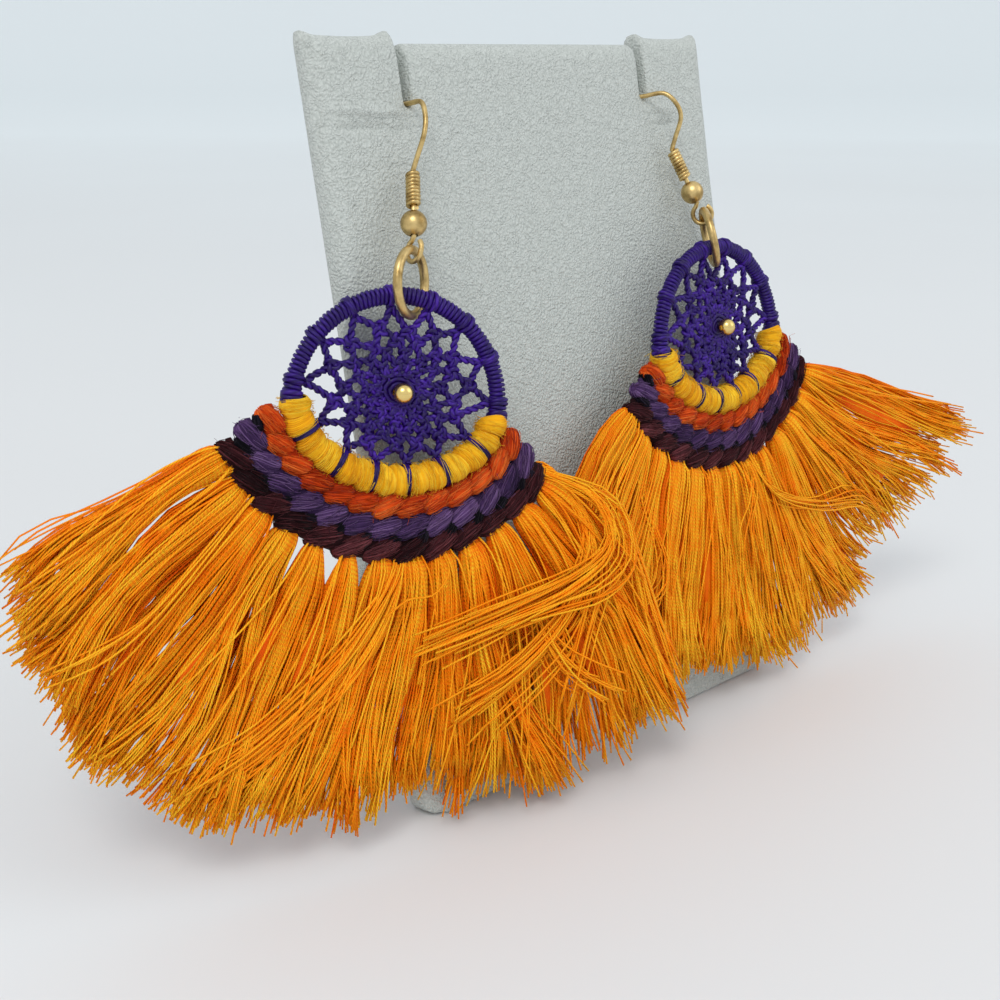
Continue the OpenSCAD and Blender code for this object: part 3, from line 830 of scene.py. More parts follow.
def make_ring(side):
    """The jump ring: round wire bent to a ring, with the fine cut where it opens."""
    down = ring_down(side)
    turn = HANG[side]["ring_face"]
    face = np.array([cos(turn), sin(turn), 0])
    axis = unit(face - (face @ down) * down)
    level = np.cross(axis, down)
    centre = drop_point(side, RING_AT) + RING_R * down
    first, last = RING_CUT_AT + RING_CUT / 2, RING_CUT_AT + 360 - RING_CUT / 2
    line = [
        centre + RING_R * (cos(a) * down + sin(a) * level) for a in np.linspace(first, last, 72)
    ]
    ring = wire_piece(f"{side}_open_ring", line, RING_WIRE, 4)
    dress(ring, WIRE, "brass_wire", f"{side}_jump_ring")


def make_bead(side):
    hole = BEAD_D * 0.28
    off = 0.45 + math.sqrt((BEAD_D / 2 + FIT) ** 2 - hole ** 2)
    centre = to_stand(side, [0, NET_RISE, off])
    bead = drilled_ball(f"{side}_middle_bead", centre, earring_axes(side)[0], BEAD_D, BEAD_D / 4)
    dress(bead, BEAD, "brass_bead", f"{side}_net_bead")


# Hoop and net
def ring_round(x, y, out, radius, steps, lean):
    """A loop round the hoop's line at a point of it, leaning along the line."""
    a = np.arange(steps)[:, None] * 2 * math.pi / steps
    outward, along = np.array([cos(out), sin(out), 0.0]), np.array([-sin(out), cos(out), 0.0])
    return ([x, y, 0.0] + radius * (np.cos(a) * outward + np.sin(a) * [0.0, 0.0, 1.0])
            + lean * np.sin(a) * along)


def make_hoop(side):
    """The hoop: a wire core wound tightly with cord, thicker where the winding ends."""
    draw, s = begin(11, side)
    # the core takes the cord's darkest tone: painted shade seen between the wraps
    core = [(*hoop_at(a)[:2], 0.0) for a in range(0, 360, 4)]
    s.add(core, HOOP_TUBE / 2 - 0.36, 8, 0.1, closed=True)
    start, end = -3.0, 183.0
    turns = int(math.radians(end - start) * HOOP_R / WINDING_PITCH)
    per_turn = 14
    line = []
    swell = [draw.uniform(-0.035, 0.035) for _ in range(turns + 2)]
    for k in range(turns * per_turn):
        turn = k / per_turn
        i = int(turn)
        f = turn - i
        grow = swell[i] * (1 - f) + swell[i + 1] * f
        grow += 0.10 * math.exp(-((min(turn, turns - turn) - 2.5) / 2.2) ** 2)
        x, y, out = hoop_at(start + (end - start) * turn / turns)
        r = HOOP_TUBE / 2 - WINDING_R - 0.04 + grow
        spin = 360 * f
        line.append((x + r * cos(spin) * cos(out), y + r * cos(spin) * sin(out), r * sin(spin)))
    s.add(np.array(line), WINDING_R, 6, 0.55)
    for angle in (-1.5, 181.5):
        for k in range(3):
            x, y, out = hoop_at(angle + (k - 1) * 1.8)
            loop = ring_round(x, y, out, HOOP_TUBE / 2 - 0.1, 14, draw.uniform(-0.5, 0.5))
            s.add(loop, 0.34, 6, draw.uniform(0.3, 0.8), closed=True)
    s.piece(f"{side}_wound_hoop", side, CORD, "purple_cord", f"{side}_hoop")


def two_ply(s, line, width, pitch, tone):
    """Twisted cord: two plies that wind about each other along a line."""
    line = np.asarray(line, float)
    hops = np.linalg.norm(np.diff(line, axis=0), axis=1)
    run = np.concatenate([[0], np.cumsum(hops)])
    tangent = unit(np.gradient(line, axis=0))
    side = unit(np.cross(tangent, np.broadcast_to([0.05, 0.1, 1.0], line.shape)))
    other = np.cross(tangent, side)
    for ply in (0, 1):
        a = run / pitch * 2 * math.pi + ply * math.pi
        off = width / 4 * (np.cos(a)[:, None] * side + np.sin(a)[:, None] * other)
        s.add(line + off, width / 4 * 1.12, 5, tone + 0.12 * ply)


def knot_lump(s, centre, size, draw, tone):
    """A small tight knot of cord."""
    spin = draw.uniform(0, math.pi)
    flip = draw.choice((1, -1))
    loop = []
    for k in range(22):
        t = 2 * math.pi * k / 22
        x = math.sin(t) + 2 * math.sin(2 * t)
        y = math.cos(t) - 2 * math.cos(2 * t)
        z = -math.sin(3 * t) * 1.1
        loop.append((
            centre[0] + size * (x * math.cos(spin) - y * math.sin(spin)) / 3,
            centre[1] + size * flip * (x * math.sin(spin) + y * math.cos(spin)) / 3,
            centre[2] + size * z / 2.6,
        ))
    s.add(np.array(loop), size * 0.34, 5, tone, closed=True)


# The loops of cord on the net's middle: share of the last ring, height and tone; the tone darkens
# towards the middle as painted shade under the bead
HUB_LOOPS = ((1.0, 0.05, 0.6), (0.72, 0.05, 0.45), (0.45, 0.05, 0.4), (0.18, 0.0, 0.3))


def jolt(draw, play, least=-1):
    """A random shift, up to the play each way."""
    return np.array([draw.uniform(-play[0], play[0]), draw.uniform(-play[1], play[1]),
                     draw.uniform(least * play[2], play[2])])


def make_net(side):
    """The knotted net: twisted cord from knot to knot, tied round the hoop and the sleeve."""
    draw, s = begin(21, side)
    rings = len(NET_RINGS)
    knots = {}
    for ring in range(rings):
        for k in range(NET_TIES):
            play = 0 if ring == 0 else 0.36 - 0.04 * ring
            knots[ring, k] = net_knot(ring, k) + jolt(draw, (play, play, 0.12))
    for ring in range(rings - 1):
        for k in range(NET_TIES):
            a = knots[ring, k]
            ends = (k, k - 1) if ring % 2 == 0 else (k, k + 1)
            for q in ends:
                b = knots[ring + 1, q % NET_TIES]
                gap = np.linalg.norm(b - a)
                steps = max(5, int(gap / 0.28))
                bow = jolt(draw, (0.16, 0.16, 0.15), 0)
                t = np.linspace(0, 1, steps)[:, None]
                line = a + (b - a) * t + bow * np.sin(math.pi * t) * min(1.0, gap / 2.5)
                two_ply(s, line, NET_CORD, NET_TWIST, draw.uniform(0.3, 0.85))
    for ring in range(1, rings):
        for k in range(NET_TIES):
            size = NET_KNOT_SIZES[ring - 1]
            knot_lump(s, knots[ring, k] + (0, 0, 0.06), size, draw, draw.uniform(0.3, 0.85))
    hub = np.array([0, NET_RISE, 0.0])
    last = np.array([knots[rings - 1, k] for k in range(NET_TIES)])
    for share, deep, tone in HUB_LOOPS:
        s.add(hub + (last - hub) * share + (0, 0, deep), 0.33, 6, tone, closed=True)
    for k in range(NET_TIES):
        tie = knots[0, k]
        way = unit(tie - hub)
        if tie[1] > 0.3:
            a = math.degrees(math.atan2(tie[1], tie[0]))
            for shift in (-1.1, 1.1):
                x, y, out = hoop_at(a + shift)
                loop = ring_round(x, y, out, HOOP_TUBE / 2 - 0.04, 14, draw.uniform(-0.35, 0.35))
                s.add(loop, 0.26, 5, draw.uniform(0.3, 0.8), closed=True)
            knot_lump(s, tie - way * 0.25, 0.5, draw, draw.uniform(0.3, 0.8))
    s.piece(f"{side}_knotted_net", side, CORD, "purple_cord", f"{side}_net")


# Yarn rows
def row_frame(at, end, share):
    """A point of a row's line, the way along the row and the way in to the hoop."""
    x, y, out = rim_at(at, end, share)
    run, rise = np.array([-sin(out), cos(out), 0.0]), np.array([-cos(out), -sin(out), 0.0])
    return np.array([x, y, 0.0]), run, rise


def slanted(lean, run, rise):
    """The way along a knot that leans off its row, and the way across it."""
    return cos(lean) * run + sin(lean) * rise, -sin(lean) * run + cos(lean) * rise


def off_line(at, end, share, reach, turn):
    """A point at a distance from a row's line, turned round it from its outer side."""
    x, y, out = rim_at(at, end, share)
    return x + reach * cos(turn) * cos(out), y + reach * cos(turn) * sin(out), reach * sin(turn)


def row_shade_core(s, at, end, across, depth):
    """The dark filling inside a row, seen only between its strands: painted shade in the gaps."""
    steps = np.arange(41)
    places = [row_frame(at, end, k / 40) for k in steps]
    taper = np.clip(0.25 + 0.3 * np.minimum(steps, steps[::-1]), 0, 1)
    s.add([p[0] for p in places], across * taper, 8, 0.0, across=[-p[2] for p in places],
          flat=depth / across)


def fuzz(s, at, end, across, depth, count, draw, reach=0.9):
    """Loose fibres that stand off a row of wool."""
    lines = []
    for _ in range(count):
        x, y, out = rim_at(at, end, draw.random())
        a = draw.uniform(0, 360)
        side, up = cos(a), sin(a)
        root = np.array([x + across * side * cos(out), y + across * side * sin(out), depth * up])
        way = unit([side * cos(out) + draw.uniform(-0.9, 0.9),
                    side * sin(out) + draw.uniform(-0.9, 0.9), up + draw.uniform(-0.6, 0.6)])
        curl = jolt(draw, (1, 1, 1)) * 0.9
        length = reach * draw.uniform(0.3, 1.0)
        t = np.linspace(0, 1, 5)[:, None]
        lines.append(root + (way * t + curl * t * t) * length)
    s.add(np.array(lines), FUZZ_R, 3, np.array([draw.uniform(0.5, 1.0) for _ in lines]))


def spindle(s, middle, ways, half, wide, deep, strands, thick, tone, draw, twist=0.5, hairs=34):
    """A plump knot of wool: a soft body in a darker tone (painted shade between the fibres), fibres
    over it, and fine hairs that stand off.
    """
    along, across = ways
    up = np.array([0.0, 0.0, 1.0])

    def full(t):
        return np.sin(t) ** 0.5

    def lay(turn, share, t, grow):
        round_it = (wide + grow) * np.cos(turn) * across + (deep + grow) * np.sin(turn) * up
        return middle - half * np.cos(t) * along + share * round_it

    t = np.linspace(0.04, 0.96, 9)[:, None] * math.pi
    inner = wide - thick * 0.6
    # painted shade: the body under the fibres takes a darker tone than they do
    s.add(middle - half * 0.94 * np.cos(t) * along, inner * full(t[:, 0]), 12, tone - 0.25,
          across=across, flat=(deep - thick * 0.6) / inner)
    lines, tones = [], []
    t = np.linspace(0.05, 0.95, 7)[:, None] * math.pi
    for k in range(strands):
        a = 2 * math.pi * (k + draw.uniform(-0.5, 0.5)) / strands
        turn = a + (twist + draw.uniform(-0.45, 0.45)) * (t / math.pi - 0.5)
        turn = turn + 0.05 * np.sin(draw.uniform(0, 6) + t * 2)
        lines.append(lay(turn, full(t) * draw.uniform(0.95, 1.04), t, -thick * 0.5))
        tones.append(tone + draw.uniform(-0.42, 0.42))
    s.add(np.array(lines), thick, 3, np.array(tones))
    lines = []
    for _ in range(hairs):
        a, b = draw.uniform(0, 2 * math.pi), draw.uniform(0.05, 0.7)
        t = np.minimum(np.linspace(b, b + draw.uniform(0.15, 0.4), 4), 0.97)[:, None] * math.pi
        turn = a + draw.uniform(-2.0, 2.0) * (t / math.pi - b)
        off = np.linspace(1.02, draw.uniform(1.05, 1.3), 4)[:, None]
        lines.append(lay(turn, full(t) * off, t, thick * 0.5))
    tones = np.array([tone + draw.uniform(-0.3, 0.7) for _ in lines])
    s.add(np.array(lines), HAIR_R, 3, tones)


def sleeve_marks():
    """Shares of the sleeve's length at which the net's ties cross it."""
    marks = []
    places = [np.array(rim_at(SLEEVE_AT, SLEEVE_END, q / 400)[:2]) for q in range(401)]
    for k in range(NET_TIES):
        tie = net_knot(0, k)
        if tie[1] < 0.3:
            marks.append(min(range(401), key=lambda q: np.linalg.norm(places[q] - tie[:2])) / 400)
    return sorted(marks)


def make_yellow(side):
    """The yellow sleeve: two plump wraps of wool between each two ties."""
    draw, s = begin(31, side)
    r = SLEEVE_D / 2
    row_shade_core(s, SLEEVE_AT, SLEEVE_END, r * 0.74, r * 0.74)
    marks = [0.0] + sleeve_marks() + [1.0]
    edges = [0.0]
    for a, b in zip(marks, marks[1:]):
        edges += [(a + b) / 2 + draw.uniform(-0.008, 0.008), b]
    for a, b in zip(edges, edges[1:]):
        tone, lean = draw.uniform(0.35, 0.8), draw.uniform(0.25, 0.6)
        dips = [0.26 * (1.3 if edge in marks else 1.05) for edge in (a, b)]
        lines = []
        for strand in range(WRAP_STRANDS):
            place = (strand + 0.5) / WRAP_STRANDS
            dip = dips[0] * (1 - place) ** 3 + dips[1] * place ** 3
            share = a + (b - a) * place
            loop = []
            for k in range(18):
                turn = 20 * k
                shift = lean * sin(turn + 30) / rim_length(SLEEVE_AT, SLEEVE_END)
                reach = (r - WRAP_STRAND_R) * (1 - dip)
                reach *= 1 + 0.03 * noise.noise(Vector((share * 90, k * 0.7, 1)))
                here = min(max(share + shift, -0.01), 1.01)
                loop.append(off_line(SLEEVE_AT, SLEEVE_END, here, reach, turn))
            lines.append(loop)
        tones = np.array([tone + draw.uniform(-0.3, 0.3) for _ in lines])
        s.add(np.array(lines), WRAP_STRAND_R * draw.uniform(0.95, 1.1), 4, tones, closed=True)
        hairs = []
        for _ in range(32):
            share, turn = a + (b - a) * draw.uniform(0.1, 0.9), draw.uniform(0, 360)
            away, side_step = draw.uniform(0.0, 0.25), draw.uniform(-0.012, 0.012)
            hairs.append([
                off_line(SLEEVE_AT, SLEEVE_END, min(max(share + side_step * k / 4, 0), 1),
                         r * 0.985 + away * (k / 4) ** 2, turn + 22 * k)
                for k in range(5)
            ])
        tones = np.array([tone + draw.uniform(-0.4, 0.6) for _ in hairs])
        s.add(np.array(hairs), 0.032, 3, tones)
    fuzz(s, SLEEVE_AT, SLEEVE_END, r, r, 120, draw, 0.6)
    s.piece(f"{side}_yellow_sleeve", side, YELLOW, "yellow_yarn", f"{side}_yellow_row")


# The rows: places out from the hoop's line, their ends, how far the wool is sunk, and looks
ROW_AT = [SLEEVE_AT + SLEEVE_D / 2 + FIT + ROW_W / 2 + k * (ROW_W + FIT) for k in range(3)]
ROW_END = [8, 15, 22]
ROW_SINK = [0.3, 0.16, 0.05]
ROWS = (
    ("orange", ORANGE, (0.2, 0.9), 41),
    ("violet", VIOLET, (0.25, 0.85), 51),
    ("maroon", MAROON, (0.1, 0.95), 61),
)


def make_row(side, row):
    """A row of knots: each is a spindle of wool that lies at a slant to the row."""
    name, material, tones, seed = ROWS[row]
    draw, s = begin(seed, side)
    at, end = ROW_AT[row] - ROW_SINK[row], ROW_END[row]
    across, depth = ROW_W / 2 + 0.2, ROW_DEPTH / 2
    row_shade_core(s, at, end, across * 0.95, depth * 0.62)
    pitch = rim_length(at, end) / ROW_KNOTS
    for knot in range(ROW_KNOTS):
        share = (knot + 0.5) / ROW_KNOTS
        place, run, rise = row_frame(at, end, share)
        ways = slanted(38 - 20 * share + draw.uniform(-8, 8), run, rise)
        inset = -0.35 if knot == 0 else 0.35 if knot == ROW_KNOTS - 1 else 0.0
        middle = place - inset * run + rise * draw.uniform(-0.08, 0.08)
        half = pitch * 0.65 * draw.uniform(0.92, 1.1)
        wide = across * draw.uniform(0.8, 0.94)
        tone = draw.uniform(*tones)
        deep = depth * draw.uniform(0.94, 1.02)
        spindle(s, middle, ways, half, wide, deep, ROW_FIBRES, ROW_FIBRE_R, tone, draw,
                draw.uniform(0.2, 0.9), ROW_HAIRS)
    fuzz(s, at, end, across, depth, 140, draw)
    s.piece(f"{side}_{name}_knots", side, material, f"{name}_yarn", f"{side}_{name}_row")


def make_dark_knots(side):
    """Black woolly knots sunk between the violet and the maroon knots."""
    draw, s = begin(71, side)
    middle = (ROW_AT[1] + ROW_AT[2]) / 2
    high = np.array([0, 0, ROW_DEPTH / 2 - 0.86])
    for k in range(ROW_KNOTS + 1):
        share = min(max((k - 0.1) / ROW_KNOTS, 0.045), 0.955)
        place, run, rise = row_frame(middle - 0.1, 18.5, share)
        ways = slanted(draw.uniform(20, 70), run, rise)
        size = draw.uniform(0.55, 0.8)
        for face in (1, -1):
            spindle(s, place + face * high, ways, 1.4 * size, 0.85 * size, 0.62, 14, 0.1,
                    draw.uniform(0.2, 0.7), draw, hairs=14)
    place, run, rise = row_frame(ROW_AT[0] + ROW_W / 2, 11, 0.035)
    for face in (1, -1):
        spindle(s, place + face * high, (run, rise), 0.9, 0.45, 0.6, 16, 0.09, 0.4, draw)
    fuzz(s, middle, 18.5, 0.6, ROW_DEPTH / 2, 120, draw)
    s.piece(f"{side}_dark_knots", side, BLACK, "maroon_yarn")


def make_sleeve_ties(side):
    """The net's ties that wrap over the yellow sleeve between its wraps."""
    draw, s = begin(81, side)
    for mark in sleeve_marks():
        x, y, out = rim_at(SLEEVE_AT, SLEEVE_END, mark)
        lean = draw.uniform(-0.25, 0.25)
        inner = (0.5 - 0.5 * np.cos(np.arange(20) * math.pi / 10)) ** 2
        for shift in (-0.13, 0.13):
            px, py = x - sin(out) * shift, y + cos(out) * shift
            # painted shade: each loop is darker where it runs on its outer side, against the orange
            # row
            tone = 0.05 + draw.uniform(0.5, 0.8) * inner[None]
            loop = ring_round(px, py, out, SLEEVE_D / 2 - 0.3, 20, lean)
            s.add(loop, 0.15 + 0.13 * inner[None], 5, tone, closed=True)
        off = SLEEVE_D / 2 - 0.1
        knot_lump(s, (x - off * cos(out), y - off * sin(out), 0.2), 0.5, draw, 0.5)
    s.piece(f"{side}_sleeve_ties", side, CORD, "purple_cord")


# Fringe
# Half the fringe's thickness by the share of its length
THICK_AT = (0, 0.2, 0.5, 0.8, 1)
THICK_HALF = (LOCK_ROOT / 2, LOCK_T * 0.42, LOCK_T / 2, LOCK_T * 0.46, LOCK_T * 0.34)


def half_thickness(t):
    return np.interp(t, THICK_AT, THICK_HALF)


class Sheet:
    """The fringe's middle sheet, as tables by the share of its width."""

    def __init__(self, side):
        self.side = side
        self.shares = np.linspace(-0.05, 1.05, 331)
        self.bones = np.array([self.bone(q) for q in self.shares])

    def bone(self, share):
        x, y, out = rim_at(FRINGE_AT, FRINGE_END, min(max(share, 0), 1))
        length = FRINGE_LEN * lock_value(self.side, REACH, share)
        lean = lock_value(self.side, LEAN, share)
        root = np.array([x, y, 0.0])
        outward = np.array([cos(out), sin(out), 0.0])
        tip = root + length * np.array([sin(lean), -cos(lean), 0.0])
        tip[2] += FRINGE_LEN * lock_value(self.side, FLARE, share)
        bend = root + 0.3 * length * outward
        return np.concatenate([root, bend, tip, outward, [cos(lean), sin(lean), 0.0]])

    def at(self, share):
        rows = [np.interp(share, self.shares, self.bones[:, c]) for c in range(15)]
        return [np.stack(rows[c:c + 3], -1) for c in range(0, 15, 3)]

    def point(self, share, along):
        """Points of the sheet, and the level direction across it there."""
        root, bend, tip, outward, level = self.at(share)
        t = np.maximum(along, 0)[..., None]
        place = (1 - t) ** 2 * root + 2 * t * (1 - t) * bend + t * t * tip
        return place + np.minimum(along, 0)[..., None] * FRINGE_LEN * outward, level


# Stray bundles that cross the fringe: how many strands, and the first and the last line
# between which they lie
BUNDLES = {
    "left": (
        (26,
         ((19, -6, 1), (24.4, -7.6, 2), (27, -12.5, 2.8), (23, -16.9, 3.2), (13.8, -21, 3.6),
          (3, -25.6, 4)),
         ((19.8, -6.4, 0.8), (26.9, -9.8, 1.8), (27.9, -15.4, 2.6), (21.8, -20.4, 3.2),
          (14.2, -24.6, 3.6), (6, -28.4, 4))),
        (7,
         ((19.5, -6, 1), (26, -7.4, 1.8), (29.6, -13.6, 2.6), (26.5, -17.6, 3.4),
          (20.2, -20.2, 3.8), (9.3, -25.9, 4.2)),
         ((20.4, -6.2, 1), (28.6, -8.6, 1.6), (31.5, -15, 2.4), (28.2, -18.6, 3.4),
          (21.8, -21, 3.8), (12.3, -23.7, 4.2))),
        (44,
         ((19.5, -6, 1), (24.3, -12.2, 1.6), (22, -21.1, 2.4), (15.2, -28.8, 2.8),
          (8.1, -32.5, 3.2)),
         ((20.6, -6.6, 1), (26.7, -14.4, 1.6), (24.9, -22.8, 2.4), (19.2, -30.1, 2.8),
          (11.5, -38.2, 3.2))),
        (9,
         ((22.8, -8.8, 1.2), (26.2, -14.4, 2), (25.7, -20.4, 2.8), (24.1, -33.3, 3.2)),
         ((22.8, -8.8, 1.2), (27.5, -15.5, 2), (26.3, -25.1, 2.8), (24.2, -39, 3.2))),
        (1,
         ((6.9, -16.4, 1.6), (7.3, -18, 2.8), (5.6, -20.6, 3.2), (2, -21.7, 3.4),
          (-0.7, -23.9, 3.2)),
         ((6.9, -16.4, 1.6), (7.3, -18, 2.8), (5.6, -20.6, 3.2), (2, -21.7, 3.4),
          (-0.7, -23.9, 3.2))),
        (16,
         ((26.4, -9.2, 0.8), (30.7, -13.6, 1.6), (32.5, -18.9, 2.2), (35.3, -27.3, 2.8)),
         ((26.4, -9.2, 0.8), (30.9, -13.6, 1.6), (35.1, -21.8, 2.2), (40.6, -31.1, 2.8))),
        (14,
         ((18.4, -20.7, 2.2), (19.8, -25.3, 2.8), (22.7, -28.9, 3.2), (27.2, -31.2, 3.4)),
         ((20.1, -20.6, 2.2), (21.3, -25.2, 2.8), (26.1, -29.2, 3.2), (31.9, -31.4, 3.4))),
        (50,
         ((1.5, -18.4, 1.6), (-1.7, -23, 2.2), (-6.2, -29.3, 2.8), (-13.3, -37, 3.2),
          (-22.3, -43.1, 3.6)),
         ((2.7, -18.7, 1.6), (0.9, -24.9, 2.2), (-2.6, -31.7, 2.8), (-8.8, -37.8, 3.2),
          (-16.4, -43.7, 3.6))),
        (16,
         ((-17.8, -8.6, 0), (-24.9, -11.2, 0.3), (-31.9, -15.9, 0.4), (-35.8, -22.3, 0.4),
          (-39.9, -25.5, 0.4)),
         ((-17.6, -8.9, 0.8), (-24.8, -12.9, 1), (-29.8, -18.9, 1.2), (-34.2, -24.8, 1.2),
          (-38.7, -30.9, 1.2))),
        (5,
         ((-15.6, -11.6, 1.4), (-20.3, -18.2, 2.2), (-24.9, -24.6, 2.8), (-29.7, -27.8, 3.4),
          (-37.1, -31.5, 3.8)),
         ((-15, -12.1, 1.4), (-20.2, -19.8, 2.2), (-24.8, -26.2, 2.8), (-30, -29.9, 3.4),
          (-36.1, -32.5, 3.8))),
    ),
    "right": (
        (9,
         ((4.8, -16.2, 1.4), (7.2, -21.3, 2.4), (16.4, -25.4, 3.2), (26.7, -24.8, 3.6),
          (33.9, -28.9, 3.6)),
         ((3.6, -16.7, 1.4), (7.4, -23.8, 2.4), (17, -27.3, 3.2), (27.4, -29.8, 3.6),
          (32, -35.3, 3.6))),
        (7,
         ((-17.7, -8.8, 0.6), (-17.4, -21.2, 1.6), (-16.6, -26.6, 2.6), (-18.2, -29.4, 3),
          (-22.2, -29.3, 3.2)),
         ((-19.2, -8.5, 0.6), (-20, -18, 1.6), (-19.1, -25.9, 2.6), (-21.2, -31.3, 3),
          (-26, -34.5, 3.2))),
        (9,
         ((5.8, -18.1, 1.4), (2.1, -22.7, 2.4), (-1.3, -26.1, 3), (-2.6, -30.3, 3)),
         ((1.3, -17.2, 1.4), (3.2, -22.9, 2.4), (4.3, -29.5, 3), (8.6, -40.2, 3))),
        (24,
         ((-17.7, -8.8, 0.6), (-23.9, -12.1, 1), (-26.9, -15.3, 1.4), (-28.4, -20, 1.6)),
         ((-15.9, -9.8, 0.6), (-21.1, -13.9, 1), (-25.1, -18.2, 1.4), (-27.1, -24.1, 1.6))),
    ),
}

# A lock's head under the row: places along it, its half width in locks and its depth
HEAD_AT = (-0.04, 0.0, 0.022, 0.055, 0.11, 0.2, 1.0)
HEAD_WIDE = (0.24, 0.34, 0.41, 0.46, 0.485, 0.50, 0.66)
HEAD_DEEP = (0.1, 0.35, 0.75, 0.98, 1.05, 1.0, 1.0)
# Wider gaps between two heads, by the lock on the gap's left: how far both draw back
GAPS = {"left": {4: 0.55, 5: 0.34, 3: 0.1}, "right": {4: 0.2, 8: 0.3}}
THREAD_R = 0.12
THREADS_A_LOCK = 216
CLUMPS_A_LOCK = 16
# The steps along a thread, as shares of its length from under the row to its tip
THREAD_STEPS = (-0.045, 0.0, 0.022, 0.055, 0.11, 0.22, 0.36, 0.51, 0.66, 0.80, 0.91, 1.0)
# The dark core in a lock, painted shade seen between its threads: places along it, and its width
# and depth as shares of the lock's
CORE_AT = (0, 0.1, 0.6, 0.8)
CORE_WIDE = (0.1, 0.6, 0.7, 0.3)
CORE_DEEP = (0.2, 0.4, 0.4, 0.2)
# Waves of the fringe's drift: their pace across it and along it, and their size
DRIFT = ((0.9, 3.6, 1.5), (2.3, -5.2, 1.1), (4.7, 6.6, 0.6), (9.7, 5.5, 0.32), (19, -8, 0.16))


def flow(seed, place, along):
    """A slow drift shared by threads that lie near each other."""
    return sum(size * np.sin(wide * place + long * along + seed * (1.7 + k))
               for k, (wide, long, size) in enumerate(DRIFT))


def make_fringe(side):
    """The fringe: a lock of threads from each knot, clumped, waved and cut unevenly."""
    draw = np.random.default_rng(91 + (side == "right"))
    s = Strands()
    sheet = Sheet(side)
    locks, n, clumps = len(LOCKS[side]), THREADS_A_LOCK, CLUMPS_A_LOCK
    seed, base_tone = (1.3, 0.57) if side == "left" else (4.1, 0.68)
    steps = np.array([THREAD_STEPS])
    for lock in range(locks):
        raised = 0.45 if lock % 2 else -0.25
        hub = draw.normal(0, 0.6, (clumps, 2))
        clump_reach = draw.uniform(0.94, 1.025, clumps)
        clump_way = draw.normal(0, 1.0, (clumps, 4))
        clump_tone = draw.uniform(-0.22, 0.22, clumps)
        lock_way, lock_reach = draw.normal(0, 1.1), draw.uniform(0.965, 1.02)
        spin = draw.uniform(0, 2 * math.pi, n)
        front = draw.random(n) < 0.68
        spin = np.where(front, np.abs(spin - math.pi), -np.abs(spin - math.pi))
        r = 0.5 + 0.5 * draw.random(n) ** 0.6
        w, d = r * np.cos(spin), r * np.sin(spin)
        near = np.hypot(w[:, None] - hub[:, 0], d[:, None] - hub[:, 1]).argmin(1)
        reach = (lock_reach * clump_reach[near] * draw.uniform(0.95, 1.02, n))[:, None]
        along = np.where(steps > 0, steps * reach, steps)
        ahead = np.maximum(along, 0)
        gather = 0.22 * np.minimum(1, ahead * 1.5)
        wt = w[:, None] + (hub[near, 0] - w)[:, None] * gather
        dt = d[:, None] + (hub[near, 1] - d)[:, None] * gather
        gap = np.where(wt > 0, GAPS[side].get(lock, 0.0), GAPS[side].get(lock - 1, 0.0))
        spread = np.interp(along, HEAD_AT, HEAD_WIDE)
        spread = spread * (1 - gap * np.interp(along, [0.02, 0.06, 0.2], [1, 0.8, 0]))
        place = lock + 0.5 + wt * spread
        p, level = sheet.point(place / locks, along)
        way = clump_way[near]
        phase, waves = draw.uniform(0, 6.28, (n, 2)), draw.uniform(5, 15, (n, 2))
        curl = draw.normal(0, 8, (n, 2)) * np.maximum(0, ahead[:, -1:] - 0.2) / 0.8
        astray = draw.random(n) < 0.1
        loose = np.where(astray, draw.normal(0, 1.8, n), draw.normal(0, 0.35, n))[:, None]
        end = np.maximum(0, along - 0.78) ** 1.5
        sway = flow(seed, place, along) * ahead ** 1.1 + curl[:, 0:1] * end
        sway += (lock_way + 0.75 * way[:, 0:1] + loose) * ahead ** 1.5
        sway += 0.75 * way[:, 2:3] * np.sin(4.5 * along + 2 * way[:, 3:4]) * ahead
        sway += 0.3 * np.sin(phase[:, 0:1] + waves[:, 0:1] * along) * ahead
        lift = 0.6 * flow(seed + 2, place, along) * ahead + curl[:, 1:2] * end
        lift += 0.45 * way[:, 1:2] * ahead ** 2 + raised * ahead
        lift += 0.3 * np.cos(phase[:, 1:2] + waves[:, 1:2] * along) * ahead
        p = p + sway[..., None] * level
        p[..., 2] += dt * half_thickness(along) * 0.94 * np.interp(along, HEAD_AT, HEAD_DEEP) + lift
        # painted light and shade: threads on the front of the lock are lighter, those behind and at
        # the lock's edges darker
        tone = base_tone + clump_tone[near] + 0.18 * d - 0.22 * np.abs(w) ** 3
        tone = (tone + draw.uniform(-0.24, 0.26, n))[:, None]
        # painted shade under the row and along the middle, painted light on the heads and the tips
        tone = tone + np.interp(ahead, [0, 0.08, 0.3, 0.6, 1.0], [-0.2, 0.1, -0.08, 0.0, 0.16])
        s.add(p, THREAD_R * draw.uniform(0.85, 1.12, (n, 1)), 3, tone)
        t = np.linspace(0.0, 0.8, 12)
        a, middle, b = (sheet.point(np.full(12, (lock + f) / locks), t)[0] for f in (0.1, 0.5, 0.9))
        middle[:, 2] += raised * t
        radius = np.linalg.norm(b - a, axis=1) / 2 * np.interp(t, CORE_AT, CORE_WIDE)
        thick = half_thickness(t) * np.interp(t, CORE_AT, CORE_DEEP)
        # painted shade: the dark core inside the lock, seen through the gaps between threads
        s.add(middle, radius, 14, 0.1, across=b - a, flat=(thick / radius)[None, :, None, None],
              grain=(0.04, 14.0))
    s.piece(f"{side}_fringe_threads", side, THREAD, "fringe_thread", f"{side}_fringe")


